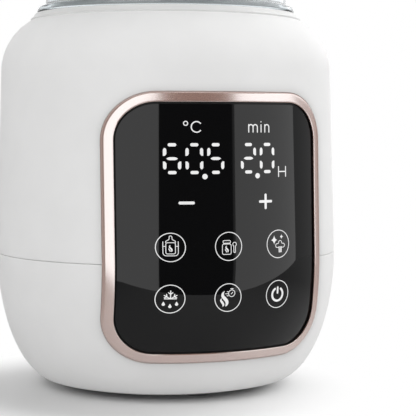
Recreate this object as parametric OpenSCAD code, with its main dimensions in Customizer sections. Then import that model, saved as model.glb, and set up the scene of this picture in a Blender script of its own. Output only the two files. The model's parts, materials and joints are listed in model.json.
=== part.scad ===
// Countertop bottle warmer and steam sterilizer, in millimetres.
// Origin: centre of the base on the surface it stands on. +Z is up, the control panel faces -Y.

/* [Body] */
// Diameter of the body at the seam between its two housings
body_d = 140; // [136:1:150]
// Height of the lower housing from its base to the seam
bowl_h = 53; // [50:0.5:58]
// How far the lower housing draws in towards its base
bowl_inset = 23.8; // [20:0.1:25]
// Draft of the upper housing in degrees
body_draft = 1.67; // [0.8:0.01:2.2]
// Height of the straight part of the upper housing
straight_h = 74; // [72:0.5:84]
// Radius of the shoulder at the top of the upper housing
shoulder_r = 24; // [21:0.5:26]
// Wall thickness of both housings
wall = 2.5; // [2:0.1:3]
// Width of the shadow gap at the seam
seam_gap = 0.4; // [0.2:0.1:0.8]
// Height of the tongue that centres one housing in the other
tongue_h = 3; // [2:0.5:5]

/* [Control panel] */
// Width of the panel across its frame
panel_w = 89.3; // [86:0.1:92]
// Height of the panel's top edge above the seam
panel_rise = 63.9; // [60:0.1:68]
// Depth of the panel's bottom edge below the seam
panel_drop = 37.6; // [35:0.2:39]
// Outer corner radius of the panel
panel_corner_r = 18; // [14:0.5:22]
// Width of the frame around the lens
bezel_w = 3.75; // [3:0.05:6]
// Height of the frame above the body
bezel_proud = 0.8; // [0.3:0.1:1.2]
// Width and depth of the step along the frame's outer edge
bezel_step = 0.7; // [0.3:0.1:1]
// Depth of the lens below the surface of the body
lens_recess = 0.1; // [0:0.1:1.6]
// Thickness of the lens
lens_t = 2.4; // [1.2:0.1:2.6]
// Width of the lowered rim of the lens
lens_rim_w = 0.7; // [0.4:0.1:1.2]
// Depth of the lowered rim below the face of the lens
lens_rim_drop = 0.5; // [0.2:0.1:1]
// Gap around the frame, around the lens and behind the frame
panel_fit = 0.15; // [0.1:0.05:0.3]
// Thickness of the carrier behind the lens
carrier_t = 2.2; // [1.6:0.1:2.6]
// Overlap of the carrier behind the housings
carrier_lap = 4; // [2:0.5:5]
// Width of the carrier's frame inside the lens edge
carrier_band = 9; // [8:0.5:11]
// Pitch of the touch keys across the panel
key_pitch_x = 21.8; // [20:0.1:23]
// Height of the upper row of touch keys above the seam
key_row_z = 6.5; // [4:0.5:8]
// Pitch of the touch keys down the panel
key_pitch_z = 19.2; // [18:0.1:20]
// Height of the minus and plus keys above the seam
step_key_z = 22.9; // [21.5:0.1:24]
// Distance of the minus and plus keys from the middle of the panel
step_key_x = 15.9; // [12:0.1:18]
// Width of the touch board
board_w = 60; // [56:1:61]
// Thickness of both circuit boards
board_t = 1.6; // [1.2:0.2:2]
// Height of the middle of the digit display above the seam
display_rise = 39.5; // [38:0.5:41]
// Width of the digit display
display_w = 52; // [46:1:53]
// Height of the digit display
display_h = 21; // [18:0.5:22]
// Depth of the digit display
display_t = 6.5; // [5:0.5:7]

/* [Well] */
// Inner diameter of the water well
well_d = 90; // [84:1:91]
// Depth of the well from its rim to the heating plate
well_depth = 99; // [96:0.5:102]
// Wall thickness of the well liner
liner_wall = 2; // [1.6:0.1:2.4]
// Diameter of the rim that covers the top of the housing
rim_d = 110; // [106:1:114]
// Thickness of the rim
rim_t = 3; // [2:0.5:4]
// Height of the bead that centres the dome on the rim
bead_h = 2; // [1.5:0.5:3]
// Width of the ledge that seals against the heating plate
ledge_w = 4.5; // [3.5:0.5:5]
// Thickness of the ledge
ledge_t = 2; // [1.5:0.5:3]
// Thickness of the seal under the ledge
seal_t = 1.5; // [1:0.25:2]
// Thickness of the heating plate at its edge
plate_t = 2.5; // [2:0.5:3]
// Depth of the dish in the heating plate
dish_depth = 0.8; // [0.4:0.2:1.2]
// Tube diameter of the heating element
element_d = 6.6; // [5.6:0.2:7]
// Diameter of the heating element's ring
element_ring_d = 50; // [46:1:52]
// Thickness of the bracket under the heating plate
bracket_t = 3; // [2.5:0.5:4]

/* [Base] */
// Height of the feet below the base
foot_h = 2; // [1.5:0.5:4]
// Diameter of a foot
foot_d = 9; // [7:0.5:10]
// Diameter of the circle through the feet
feet_circle_d = 72; // [68:1:74]
// Thickness of the base plate's rim under the lower housing
base_rim_t = 1.5; // [1:0.25:2]
// Thickness of the base plate inside the lower housing
base_plug_t = 2; // [1.5:0.25:3]
// Diameter of the opening in the floor of the lower housing
floor_opening_d = 83.4; // [80:0.2:86]
// Diameter of the circle through the chassis screws
column_circle_d = 72; // [70:0.5:73]
// Diameter of the columns that carry the chassis screws
column_d = 10; // [9:0.5:10.4]
// Height of the columns above the base plate
column_h = 18; // [16:0.5:22]
// Length of the power board
power_board_l = 68; // [64:1:72]
// Width of the power board
power_board_w = 39; // [37:0.5:39.4]
// Height of the power board above the base plate
standoff_h = 4.5; // [3.5:0.5:6]
// Diameter of the mains cord that the gland takes
cord_d = 7; // [6:0.2:7.6]
// Height of the gland's axis above the base
gland_z = 20; // [18:0.5:22]

/* [Dome and basket] */
// Height of the dome above the rim
dome_h = 103; // [100:1:115]
// Wall thickness of the dome
dome_wall = 1.8; // [1.5:0.1:2.5]
// Radius of the dome's shoulder
dome_shoulder_r = 22; // [16:1:26]
// Draft of the dome in degrees
dome_draft = 1.2; // [0.6:0.1:1.6]
// Width of the dome's foot flange
dome_flange_w = 3; // [2:0.5:4]
// Diameter of the knob
knob_d = 30; // [26:1:34]
// Diameter of the knob's waist
knob_waist_d = 18.6; // [15:0.2:20]
// Height of the knob
knob_h = 15; // [12:0.5:18]
// Gap between the basket and the wall of the well
basket_gap = 2.5; // [2:0.1:4]
// Wall thickness of the basket
basket_wall = 1.8; // [1.5:0.1:2.5]
// Height of the basket's wall
basket_h = 48; // [42:1:56]
// Height of the basket's lifting tabs above its wall
tab_h = 38; // [30:1:40]
// Width of a lifting tab
tab_w = 24; // [20:1:28]
// Number of slots around the basket
slot_count = 12; // [8:4:16]

/* [Screws] */
// Shank diameter of the screws
screw_d = 3; // [2.5:0.1:3.2]
// Head diameter of the screws
screw_head_d = 5.6; // [5:0.1:6]
// Head height of the screws
screw_head_h = 2; // [1.6:0.1:2.4]
// Gap around a screw
screw_fit = 0.15; // [0.1:0.05:0.3]

/* [Hidden] */
$fn = 96;

white = "#eceae7";
pale_grey = "#d8d8d6";
rose_gold = "#c9a297";
black = "#17171a";
steel = "#b9bcc0";
board_green = "#2f6b4a";
rubber_grey = "#55575a";
clear = [0.86, 0.92, 0.95, 0.35];

// Clearances between pieces that are taken apart
slip = 0.4;
cord_fit = 0.2;
cut = 1;

// Radii of the holes that screws pass through and bite into
clearance_r = screw_d / 2 + screw_fit;
pilot_r = screw_d / 2 + screw_fit / 3;

// Body levels and radii
body_r = body_d / 2;
base_z = foot_h;
seam_z = base_z + bowl_h;
shoulder_z = seam_z + straight_h;
shoulder_edge = [body_r - straight_h * tan(body_draft), shoulder_z];
shoulder_centre = shoulder_edge - shoulder_r * [cos(body_draft), sin(body_draft)];
rim_r = rim_d / 2;
seat_z = shoulder_centre[1] + sqrt(pow(shoulder_r, 2) - pow(rim_r - shoulder_centre[0], 2));
rim_z = seat_z + rim_t;
seat_ledge_h = 4;
seat_lap = 2;
bowl_steps = 16;
shoulder_steps = 12;

// Well levels and radii
well_r = well_d / 2;
liner_r = well_r + liner_wall;
plate_top_z = rim_z - well_depth;
ledge_step = 0.5;
ledge_top_z = plate_top_z + ledge_step;
ledge_z = ledge_top_z - ledge_t;
seal_z = ledge_z - seal_t;
plate_z = seal_z - plate_t;
bracket_z = plate_z - bracket_t;
ledge_r = well_r - ledge_w;
edge_fit = 0.3;
bracket_boss_r = 3.2;
bracket_boss_h = 12;
bracket_boss_sink = 0.8;
bracket_circle_r = liner_r + bracket_boss_r - bracket_boss_sink;
bracket_ear_wall = 1;
bracket_post_inset = 1.5;
bracket_inner_r = 32;
dish_rim_w = 4;

// Base levels
base_plug_z = base_z + base_rim_t;
base_top_z = base_plug_z + base_plug_t;
floor_opening_r = floor_opening_d / 2;
floor_t = 2.5;
base_rim_inset = 0.7;
base_rim_r = body_r - bowl_inset - base_rim_inset;
column_top_z = base_top_z + column_h;
column_r = column_d / 2;
column_circle_r = column_circle_d / 2;
screw_well_r = screw_head_d / 2 + slip;
screw_well_h = 8;
screw_seat_z = base_top_z + screw_well_h;
screw_bite = 9;
screw_tip_gap = 2;
foot_sink = 1;
standoff_r = 3;
standoff_inset = [4.5, 5];
standoff_x = power_board_w / 2 - standoff_inset[0];
standoff_y = power_board_l / 2 - standoff_inset[1];
power_board_z = base_top_z + standoff_h;
power_top_z = power_board_z + board_t;
power_board_corner_r = 3;
vent_l = 16;
vent_w = 2;
vent_pitch = 5;
vent_count = 4;
vent_start = 6;

// Panel levels, as heights and as offsets from the surface of the body
panel_top_z = seam_z + panel_rise;
panel_bottom_z = seam_z - panel_drop;
panel_mid_z = (panel_top_z + panel_bottom_z) / 2;
panel_h = panel_rise + panel_drop;
lens_back = lens_recess + lens_t;
tape_gap = 0.5;
carrier_front = max(lens_back, wall) + tape_gap;
carrier_back = carrier_front + carrier_t;
board_well_gap = 3;
board_rear_y = -(liner_r + board_well_gap);
board_y = board_rear_y - board_t;
board_margin = 2.5;
board_bottom_z = panel_bottom_z + bezel_w + board_margin;
board_top_z = panel_top_z - bezel_w - board_margin;
board_h = board_top_z - board_bottom_z;
board_corner_r = 7;
board_screw_inset = [8, 3.4];
board_screw_x = board_w / 2 - board_screw_inset[0];
board_screw_low_z = board_bottom_z + board_screw_inset[1];
board_screw_high_z = board_top_z - board_screw_inset[1];
board_screw_bite = 3;
board_pilot_h = 4;
board_post_r = 2.8;
display_z = seam_z + display_rise;
key_columns = [-key_pitch_x, 0, key_pitch_x];
key_rows = [seam_z + key_row_z, seam_z + key_row_z - key_pitch_z];
spring_r = 3;
spring_wire = 0.8;

// Gland levels
gland_axis_z = base_z + gland_z;
gland_face_inset = 3.5;
gland_face_y = body_r - gland_face_inset;
gland_boss_r = 9;
gland_boss_l = 10;
gland_wall = 2;
gland_neck_r = cord_d / 2 + gland_wall;
gland_flange_w = 2;
gland_flange_r = gland_neck_r + gland_flange_w;
gland_recess_wall = 1;
gland_flange_t = 1.8;
gland_bore_r = cord_d / 2 + cord_fit;

// Dome and basket levels
dome_seat_w = 3;
dome_inner_r = well_r + dome_seat_w;
bead_r = dome_inner_r - slip;
dome_top_z = rim_z + dome_h;
dome_flange_t = 2.2;
basket_r = well_r - basket_gap;
basket_z = ledge_top_z;
basket_foot_h = 3;
basket_floor_t = 2;
basket_top_z = basket_z + basket_h;
tab_top_z = basket_top_z + tab_h;
slot_w = 7;
slot_margin = 9;
slot_sill = 0.5;
foot_notch_w = 8;
foot_notch_h = 2;
foot_notch_count = 6;
drain_count = 6;
drain_circle_r = 24.4;
drain_r = 5;
middle_drain_r = 7;
tab_frame = 6;

// Outline of the body, offset outwards by d
function bowl_point(a, d) =
    let (n = [bowl_h * cos(a), -bowl_inset * sin(a)])
    [body_r - bowl_inset * (1 - cos(a)), seam_z - bowl_h * sin(a)] + d * n / norm(n);
function bowl_side(d) = [for (i = [bowl_steps : -1 : 0]) bowl_point(90 * i / bowl_steps, d)];
function shoulder_point(a, d) = shoulder_centre + (shoulder_r + d) * [cos(a), sin(a)];
function shoulder_side(d) =
    [for (i = [0 : shoulder_steps])
        shoulder_point(body_draft + (90 - body_draft) * i / shoulder_steps, d)];
function wall_side(d) = concat(bowl_side(d), [shoulder_point(body_draft, d)]);
function reversed(points) = [for (i = [len(points) - 1 : -1 : 0]) points[i]];

// Radius of the body at a height of the straight or bowl part, offset by d
function body_radius(z, d) =
    z >= seam_z ? body_r - (z - seam_z) * tan(body_draft) + d
                : body_r - bowl_inset * (1 - sqrt(1 - pow((seam_z - z) / bowl_h, 2))) + d;

// Filled half section of the body, offset by d
module body_section(d) {
    points = concat(bowl_side(d), shoulder_side(d));
    polygon(concat([[0, points[0][1]]], points, [[0, points[len(points) - 1][1]]]));
}

// Half section of a band between two heights
module height_band(low, high) {
    translate([0, low]) square([body_d, high - low]);
}

// Upright ring section from radius r1 to r2 and height z1 to z2
module ring_section(r1, r2, z1, z2) {
    translate([r1, z1]) square([r2 - r1, z2 - z1]);
}

module rounded_rect(w, h, r) {
    square([w - 2 * r, h], center = true);
    square([w, h - 2 * r], center = true);
    for (x = [-1, 1], y = [-1, 1])
        translate([x * (w / 2 - r), y * (h / 2 - r)]) circle(r);
}

// Panel outline, drawn in by inset, extruded along the panel's normal through the front of the body
module panel_prism(inset, near = 30) {
    translate([0, -near, panel_mid_z]) rotate([90, 0, 0]) linear_extrude(body_d - near)
        rounded_rect(panel_w - 2 * inset, panel_h - 2 * inset, panel_corner_r - inset);
}

// Front half of a shell that follows the body between two offsets
module front_shell(outer, inner) {
    rotate_extrude(angle = 180, start = 180)
        polygon(concat(wall_side(outer), reversed(wall_side(inner))));
}

module at_quarters(r, phase = 0) {
    for (a = [0 : 90 : 270]) rotate(a + phase) translate([r, 0, 0]) children();
}

module tube(outer, inner, h) {
    difference() {
        cylinder(r = outer, h = h);
        translate([0, 0, -cut]) cylinder(r = inner, h = h + 2 * cut);
    }
}

// Pan-head screw pointing up, head below z = 0
module screw(l) {
    translate([0, 0, -screw_head_h]) cylinder(d = screw_head_d, h = screw_head_h);
    cylinder(d = screw_d, h = l);
}

// Upper housing: drafted shell with a round shoulder, a seat for the rim and a tongue at the seam
module upper_housing() {
    color(white) difference() {
        rotate_extrude() {
            difference() {
                union() {
                    intersection() {
                        body_section(0);
                        height_band(seam_z + seam_gap, seat_z);
                    }
                    ring_section(0, body_r - wall / 2 - panel_fit, seam_z - tongue_h, seam_z + tongue_h);
                }
                body_section(-wall);
                ring_section(0, liner_r + slip, seam_z, seat_z + cut);
            }
            intersection() {
                body_section(0);
                ring_section(liner_r + slip, rim_r + seat_lap, seat_z - seat_ledge_h, seat_z);
            }
        }
        panel_prism(-panel_fit);
    }
}

// Lower housing: bowl with a rebate for the tongue, an open floor and a boss for the gland
module lower_housing() {
    color(white) difference() {
        union() {
            rotate_extrude() difference() {
                union() {
                    difference() {
                        intersection() {
                            body_section(0);
                            height_band(base_plug_z, seam_z);
                        }
                        body_section(-wall);
                    }
                    intersection() {
                        body_section(0);
                        ring_section(floor_opening_r, body_r, base_plug_z, base_plug_z + floor_t);
                    }
                }
                ring_section(0, body_r - wall / 2, seam_z - tongue_h, seam_z + cut);
                ring_section(0, floor_opening_r, 0, base_plug_z + 2 * floor_t);
            }
            gland_axis(gland_face_y - gland_boss_l) cylinder(r = gland_boss_r, h = gland_boss_l);
        }
        panel_prism(-panel_fit);
        gland_axis(gland_face_y) cylinder(r = gland_boss_r - gland_recess_wall, h = gland_boss_l);
        gland_axis(gland_face_y - gland_boss_l - cut)
            cylinder(r = gland_neck_r + panel_fit, h = 2 * gland_boss_l);
    }
}

// Places children on the gland's axis, pointing out of the back
module gland_axis(y) {
    translate([0, y, gland_axis_z]) rotate([-90, 0, 0]) children();
}

module cord_gland() {
    color(rubber_grey) difference() {
        union() {
            gland_axis(gland_face_y) cylinder(r = gland_flange_r, h = gland_flange_t);
            gland_axis(gland_face_y - gland_boss_l) cylinder(r = gland_neck_r, h = gland_boss_l + cut);
            gland_axis(gland_face_y - gland_boss_l - gland_flange_t)
                cylinder(r = gland_flange_r, h = gland_flange_t);
        }
        gland_axis(gland_face_y - 2 * gland_boss_l) cylinder(r = gland_bore_r, h = 4 * gland_boss_l);
    }
}

module base_plate() {
    color(pale_grey) difference() {
        union() {
            translate([0, 0, base_z]) cylinder(r = base_rim_r, h = base_rim_t);
            translate([0, 0, base_plug_z]) cylinder(r = floor_opening_r - panel_fit, h = base_plug_t);
            translate([0, 0, base_plug_z]) at_quarters(column_circle_r, 45)
                cylinder(r = column_r, h = column_top_z - base_plug_z);
            for (x = [-1, 1], y = [-1, 1])
                translate([x * standoff_x, y * standoff_y, base_plug_z])
                    cylinder(r = standoff_r, h = power_board_z - base_plug_z);
        }
        at_quarters(column_circle_r, 45) {
            translate([0, 0, base_z - cut]) cylinder(r = screw_well_r, h = screw_seat_z - base_z + cut);
            translate([0, 0, base_z]) cylinder(r = clearance_r, h = column_top_z);
        }
        translate([0, 0, base_z - cut]) at_quarters(feet_circle_d / 2)
            cylinder(r = foot_d / 2 + panel_fit, h = cut + foot_sink);
        for (side = [-1, 1], i = [0 : vent_count - 1])
            translate([-vent_l / 2, side * (vent_start + vent_pitch * i) - vent_w / 2, base_z - cut])
                cube([vent_l, vent_w, base_top_z]);
    }
}

module feet() {
    color(rubber_grey) at_quarters(feet_circle_d / 2)
        cylinder(d = foot_d, h = foot_h + foot_sink);
}

module chassis_screws() {
    color(steel) translate([0, 0, screw_seat_z]) at_quarters(column_circle_r, 45)
        screw(column_top_z - screw_seat_z + screw_bite);
}

// Well liner: rim, wall, sealing ledge and screw bosses
module well_liner() {
    color(pale_grey) difference() {
        union() {
            rotate_extrude() {
                ring_section(well_r, liner_r, plate_z, rim_z);
                ring_section(ledge_r, liner_r, ledge_z, ledge_top_z);
                difference() {
                    ring_section(well_r, rim_r, seat_z, rim_z);
                    translate([rim_r - rim_t / 2, rim_z - rim_t / 2]) rim_corner();
                }
                ring_section(well_r, bead_r, seat_z, rim_z + bead_h);
            }
            translate([0, 0, plate_z]) at_quarters(bracket_circle_r, 45)
                cylinder(r = bracket_boss_r, h = bracket_boss_h);
        }
        translate([0, 0, plate_z - cut]) cylinder(r = well_r, h = ledge_z - plate_z + cut);
        translate([0, 0, ledge_top_z]) cylinder(r = well_r, h = well_depth);
        translate([0, 0, plate_z - cut]) at_quarters(bracket_circle_r, 45)
            cylinder(r = pilot_r, h = screw_bite);
    }
}

// Corner that rounds the rim's outer edge, taken away from the square section
module rim_corner() {
    difference() {
        square(rim_t);
        circle(rim_t / 2);
    }
}

module plate_seal() {
    color(rubber_grey) translate([0, 0, seal_z]) tube(well_r - edge_fit, ledge_r + edge_fit, seal_t);
}

module heating_plate() {
    color(steel) difference() {
        union() {
            translate([0, 0, plate_z]) cylinder(r = well_r - edge_fit, h = plate_t);
            translate([0, 0, plate_z]) cylinder(r = ledge_r - edge_fit, h = plate_top_z - plate_z);
        }
        translate([0, 0, plate_top_z - dish_depth]) cylinder(r = ledge_r - dish_rim_w, h = dish_depth + cut);
    }
}

// Bracket: flat ring with four ears, on posts that stand on the columns of the base plate
module heater_bracket() {
    color(steel) difference() {
        union() {
            translate([0, 0, bracket_z]) linear_extrude(bracket_t) difference() {
                union() {
                    circle(liner_r);
                    at_quarters(bracket_circle_r, 45) circle(bracket_boss_r + bracket_ear_wall);
                }
                circle(bracket_inner_r);
                at_quarters(bracket_circle_r, 45) circle(clearance_r);
            }
            translate([0, 0, column_top_z]) at_quarters(column_circle_r, 45)
                cylinder(r = column_r - bracket_post_inset, h = bracket_z + bracket_t / 2 - column_top_z);
        }
        translate([0, 0, column_top_z - cut]) at_quarters(column_circle_r, 45)
            cylinder(r = pilot_r, h = screw_bite + 2 * cut);
    }
}

module bracket_screws() {
    color(steel) translate([0, 0, bracket_z]) at_quarters(bracket_circle_r, 45)
        screw(bracket_t + screw_bite - screw_tip_gap);
}

// Tubular element brazed to the plate, open at the back where its pins turn down
element_gap = 60;
element_flat = 0.5;
element_z = plate_z - element_d / 2 + element_flat;
element_r = element_ring_d / 2;
pin_r = 1.6;
pin_l = 12;
pin_bottom_z = element_z - pin_l;
pin_turn = 4;

module heating_element() {
    color(steel) difference() {
        union() {
            translate([0, 0, element_z])
                rotate_extrude(angle = 360 - element_gap, start = 90 + element_gap / 2)
                    translate([element_r, 0]) circle(d = element_d);
            for (side = [-1, 1])
                rotate(90 + side * (element_gap / 2 + pin_turn)) translate([element_r, 0, pin_bottom_z])
                    cylinder(r = pin_r, h = element_z - pin_bottom_z);
        }
        translate([0, 0, plate_z]) cylinder(r = body_r, h = element_d);
    }
}

cutout_r = 7;
cutout_h = 8;
spade_w = 6.3;
spade_t = 0.8;
spade_h = 7;
spade_x = 4;

module thermal_cutout() {
    color(black) translate([0, 0, plate_z - cutout_h]) cylinder(r = cutout_r, h = cutout_h);
    color(steel) for (side = [-1, 1])
        translate([side * spade_x - spade_t / 2, -spade_w / 2, plate_z - cutout_h - spade_h])
            cube([spade_t, spade_w, spade_h]);
}

sensor_r = 2.6;
sensor_h = 9;
sensor_y = -14;

module temperature_sensor() {
    color(steel) translate([0, sensor_y, plate_z - sensor_h]) cylinder(r = sensor_r, h = sensor_h);
}

module power_board() {
    color(board_green) translate([0, 0, power_board_z]) linear_extrude(board_t)
        rounded_rect(power_board_w, power_board_l, power_board_corner_r);
}

// Stands a block of the given size on the power board
module on_power_board(place, size) {
    translate([place[0] - size[0] / 2, place[1] - size[1] / 2, power_top_z]) cube(size);
}

relay_size = [19, 15.5, 15];
relay_place = [-8, 8];
transformer_size = [17, 18, 14];
core_size = [19, 8, 16];
transformer_place = [-8, -13];
capacitor_r = 5;
capacitor_h = 17;
capacitor_place = [11, -10];
terminal_size = [30, 9, 10];
terminal_pitch = 10;
wire_hole_r = 2;
plug_size = [14, 6, 7];
edge_margin = 1;
plug_y = -power_board_l / 2 + plug_size[1] / 2 + edge_margin;
terminal_y = power_board_l / 2 - terminal_size[1] / 2 - edge_margin;

module power_relay() {
    color(black) on_power_board(relay_place, relay_size);
}

module power_transformer() {
    color("#d9b44a") on_power_board(transformer_place, transformer_size);
    color(black) on_power_board(transformer_place, core_size);
}

module filter_capacitor() {
    color(black) translate([capacitor_place[0], capacitor_place[1], power_top_z])
        cylinder(r = capacitor_r, h = capacitor_h);
}

module terminal_block() {
    color("#4f8f5f") difference() {
        on_power_board([0, terminal_y], terminal_size);
        for (x = [-terminal_pitch, 0, terminal_pitch])
            translate([x, terminal_y + cut, power_top_z + terminal_size[2] / 2])
                rotate([-90, 0, 0]) cylinder(r = wire_hole_r, h = terminal_size[1]);
    }
}

// Two leads from the terminal block up to the pins of the heating element
lead_r = 1.1;
lead_sides = 8;
lead_steps = 10;
lead_start_x = 9;
pin_angle = 90 - element_gap / 2 - pin_turn;
pin_x = element_r * cos(pin_angle);
pin_y = element_r * sin(pin_angle);
terminal_top_z = power_top_z + terminal_size[2];

// Smooth rise from the terminal to the pin, straight at both ends
function lead_point(t) =
    let (s = (1 - cos(180 * t)) / 2)
    [lead_start_x + (pin_x - lead_start_x) * s, terminal_y + (pin_y - terminal_y) * s,
     terminal_top_z + (pin_bottom_z - terminal_top_z) * t];

module lead() {
    rings = [for (i = [0 : lead_steps], k = [0 : lead_sides - 1])
        lead_point(i / lead_steps)
            + lead_r * [cos(360 * k / lead_sides), sin(360 * k / lead_sides), 0]];
    last = lead_steps * lead_sides;
    faces = concat(
        [[for (k = [0 : lead_sides - 1]) k]],
        [[for (k = [lead_sides - 1 : -1 : 0]) last + k]],
        [for (i = [0 : lead_steps - 1], k = [0 : lead_sides - 1])
            let (a = i * lead_sides + k, b = i * lead_sides + (k + 1) % lead_sides)
            [a, a + lead_sides, b + lead_sides]],
        [for (i = [0 : lead_steps - 1], k = [0 : lead_sides - 1])
            let (a = i * lead_sides + k, b = i * lead_sides + (k + 1) % lead_sides)
            [a, b + lead_sides, b]]);
    polyhedron(rings, faces);
}

module heater_leads() {
    color("#a33b32") lead();
    color("#3a5f9e") mirror([1, 0, 0]) lead();
}

// Flat board behind the lens
module touch_board() {
    color(board_green) difference() {
        translate([0, board_rear_y, board_bottom_z + board_h / 2]) rotate([90, 0, 0])
            linear_extrude(board_t) rounded_rect(board_w, board_h, board_corner_r);
        at_board_screws(board_y - cut) cylinder(r = clearance_r, h = board_t + 2 * cut);
    }
}

// Places children at the board's four screws, pointing to the back from y
module at_board_screws(y) {
    for (x = [-1, 1], z = [board_screw_low_z, board_screw_high_z])
        translate([x * board_screw_x, y, z]) rotate([-90, 0, 0]) children();
}

module board_screws() {
    color(steel) at_board_screws(board_rear_y) mirror([0, 0, 1]) screw(board_t + board_screw_bite);
}

// Moulded frame behind the bezel and lens that carries the touch board on four posts
module panel_carrier() {
    color(white) difference() {
        union() {
            difference() {
                intersection() {
                    front_shell(-carrier_front, -carrier_back);
                    panel_prism(-carrier_lap);
                }
                panel_prism(bezel_w + carrier_band);
            }
            intersection() {
                front_shell(-carrier_front, -body_r / 2);
                at_board_screws(board_y - body_r) cylinder(r = board_post_r, h = body_r);
            }
        }
        at_board_screws(board_y - board_pilot_h) cylinder(r = pilot_r, h = board_pilot_h + cut);
    }
}

// Contact springs between the touch board and the back of the lens
module touch_spring(x, z) {
    outer_x = abs(x) + spring_r;
    lens_back_r = body_radius(z - spring_r, -lens_back) - panel_fit;
    reach = sqrt(pow(lens_back_r, 2) - pow(outer_x, 2)) + board_y;
    translate([x, board_y, z]) rotate([90, 0, 0]) tube(spring_r, spring_r - spring_wire, reach - panel_fit);
}

module touch_springs() {
    color(steel) {
        for (x = key_columns, z = key_rows) touch_spring(x, z);
        for (x = [-step_key_x, step_key_x]) touch_spring(x, seam_z + step_key_z);
    }
}

module digit_display() {
    color(black) translate([-display_w / 2, board_y - display_t, display_z - display_h / 2])
        cube([display_w, display_t, display_h]);
}

buzzer_r = 4.5;
buzzer_t = 5;
buzzer_x = 12;
buzzer_rise = 8;
buzzer_z = board_bottom_z + buzzer_rise;

module buzzer() {
    color(black) translate([buzzer_x, board_y, buzzer_z]) rotate([90, 0, 0])
        cylinder(r = buzzer_r, h = buzzer_t);
}

// Flat cable from the back of the touch board down to its plug on the power board
cable_w = 12;
cable_t = 1;
cable_bend_r = 6;
cable_rise = 7;
cable_z = board_bottom_z + cable_rise;
socket_t = 4.5;
socket_h = 6;

module signal_cable() {
    bend_y = plug_y - cable_bend_r;
    start_y = board_rear_y + socket_t;
    plug_top = power_top_z + plug_size[2];
    color(white) {
        translate([-plug_size[0] / 2, board_rear_y, cable_z - socket_h / 2])
            cube([plug_size[0], socket_t, socket_h]);
        on_power_board([0, plug_y], plug_size);
    }
    color(pale_grey) translate([-cable_w / 2, 0, 0]) {
        translate([0, start_y - cut, cable_z - cable_t / 2]) cube([cable_w, bend_y - start_y + cut, cable_t]);
        translate([0, bend_y, cable_z - cable_bend_r]) rotate([90, 0, 90])
            quarter_bend(cable_bend_r, cable_t, cable_w);
        translate([0, plug_y - cable_t / 2, plug_top - cut])
            cube([cable_w, cable_t, cable_z - cable_bend_r - plug_top + cut]);
    }
}

// Quarter bend of a strip of thickness t and width w, about the origin
module quarter_bend(r, t, w) {
    rotate_extrude(angle = 90) translate([r - t / 2, 0]) square([t, w]);
}

// Frame around the lens, with a stepped outer edge
module panel_bezel() {
    color(rose_gold) difference() {
        union() {
            intersection() {
                front_shell(bezel_proud - bezel_step, -carrier_front + panel_fit);
                panel_prism(0);
            }
            intersection() {
                front_shell(bezel_proud, -carrier_front + panel_fit);
                panel_prism(bezel_step);
            }
        }
        panel_prism(bezel_w);
    }
}

// Curved lens with a lowered rim
module panel_lens() {
    color(black) {
        intersection() {
            front_shell(-lens_recess - lens_rim_drop, -lens_back);
            panel_prism(bezel_w + panel_fit);
        }
        intersection() {
            front_shell(-lens_recess, -lens_back);
            panel_prism(bezel_w + panel_fit + lens_rim_w);
        }
    }
}

// Clear dome: flange, drafted wall, round shoulder and flat top
dome_shoulder_z = dome_top_z - dome_shoulder_r;
dome_outer_r = dome_inner_r + dome_wall;
dome_wall_h = dome_shoulder_z - rim_z;
dome_shoulder_edge_r = dome_outer_r - dome_wall_h * tan(dome_draft);
dome_centre = [dome_shoulder_edge_r - dome_shoulder_r, dome_shoulder_z];
dome_steps = 12;
steam_hole_r = 2.2;
steam_hole_gap = 5;
steam_circle_r = knob_d / 2 + steam_hole_gap;

function dome_side(inset) =
    [for (i = [0 : dome_steps])
        dome_centre + (dome_shoulder_r - inset) * [cos(90 * i / dome_steps), sin(90 * i / dome_steps)]];

module dome_section(inset, low) {
    arc = dome_side(inset);
    polygon(concat([[0, low], [dome_outer_r - inset, low], [dome_outer_r - inset, rim_z]], arc,
                   [[0, arc[dome_steps][1]]]));
}

module steam_dome() {
    color(clear) difference() {
        rotate_extrude() {
            difference() {
                dome_section(0, rim_z);
                dome_section(dome_wall, rim_z - cut);
            }
            ring_section(dome_inner_r, dome_outer_r + dome_flange_w, rim_z, rim_z + dome_flange_t);
        }
        translate([0, 0, dome_top_z - dome_wall - cut]) {
            cylinder(r = clearance_r, h = dome_wall + 2 * cut);
            at_quarters(steam_circle_r, 45) cylinder(r = steam_hole_r, h = dome_wall + 2 * cut);
        }
    }
}

// Knob: waisted stem under a round cap
knob_r = knob_d / 2;
knob_waist_r = knob_waist_d / 2;
knob_edge_r = 3;

module dome_knob() {
    top = dome_top_z + knob_h;
    color(white) difference() {
        rotate_extrude() difference() {
            union() {
                ring_section(0, knob_r - knob_edge_r, dome_top_z, top);
                ring_section(0, knob_r, top - 2 * knob_edge_r, top - knob_edge_r);
                translate([knob_r - knob_edge_r, top - knob_edge_r]) circle(knob_edge_r);
            }
            translate([knob_waist_r + knob_edge_r, top - 3 * knob_edge_r]) circle(knob_edge_r);
            ring_section(knob_waist_r, knob_r, dome_top_z - cut, top - 3 * knob_edge_r);
        }
        translate([0, 0, dome_top_z - cut]) cylinder(r = pilot_r, h = screw_bite);
    }
}

module knob_screw() {
    color(steel) translate([0, 0, dome_top_z - dome_wall]) screw(dome_wall + screw_bite - screw_tip_gap);
}

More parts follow.
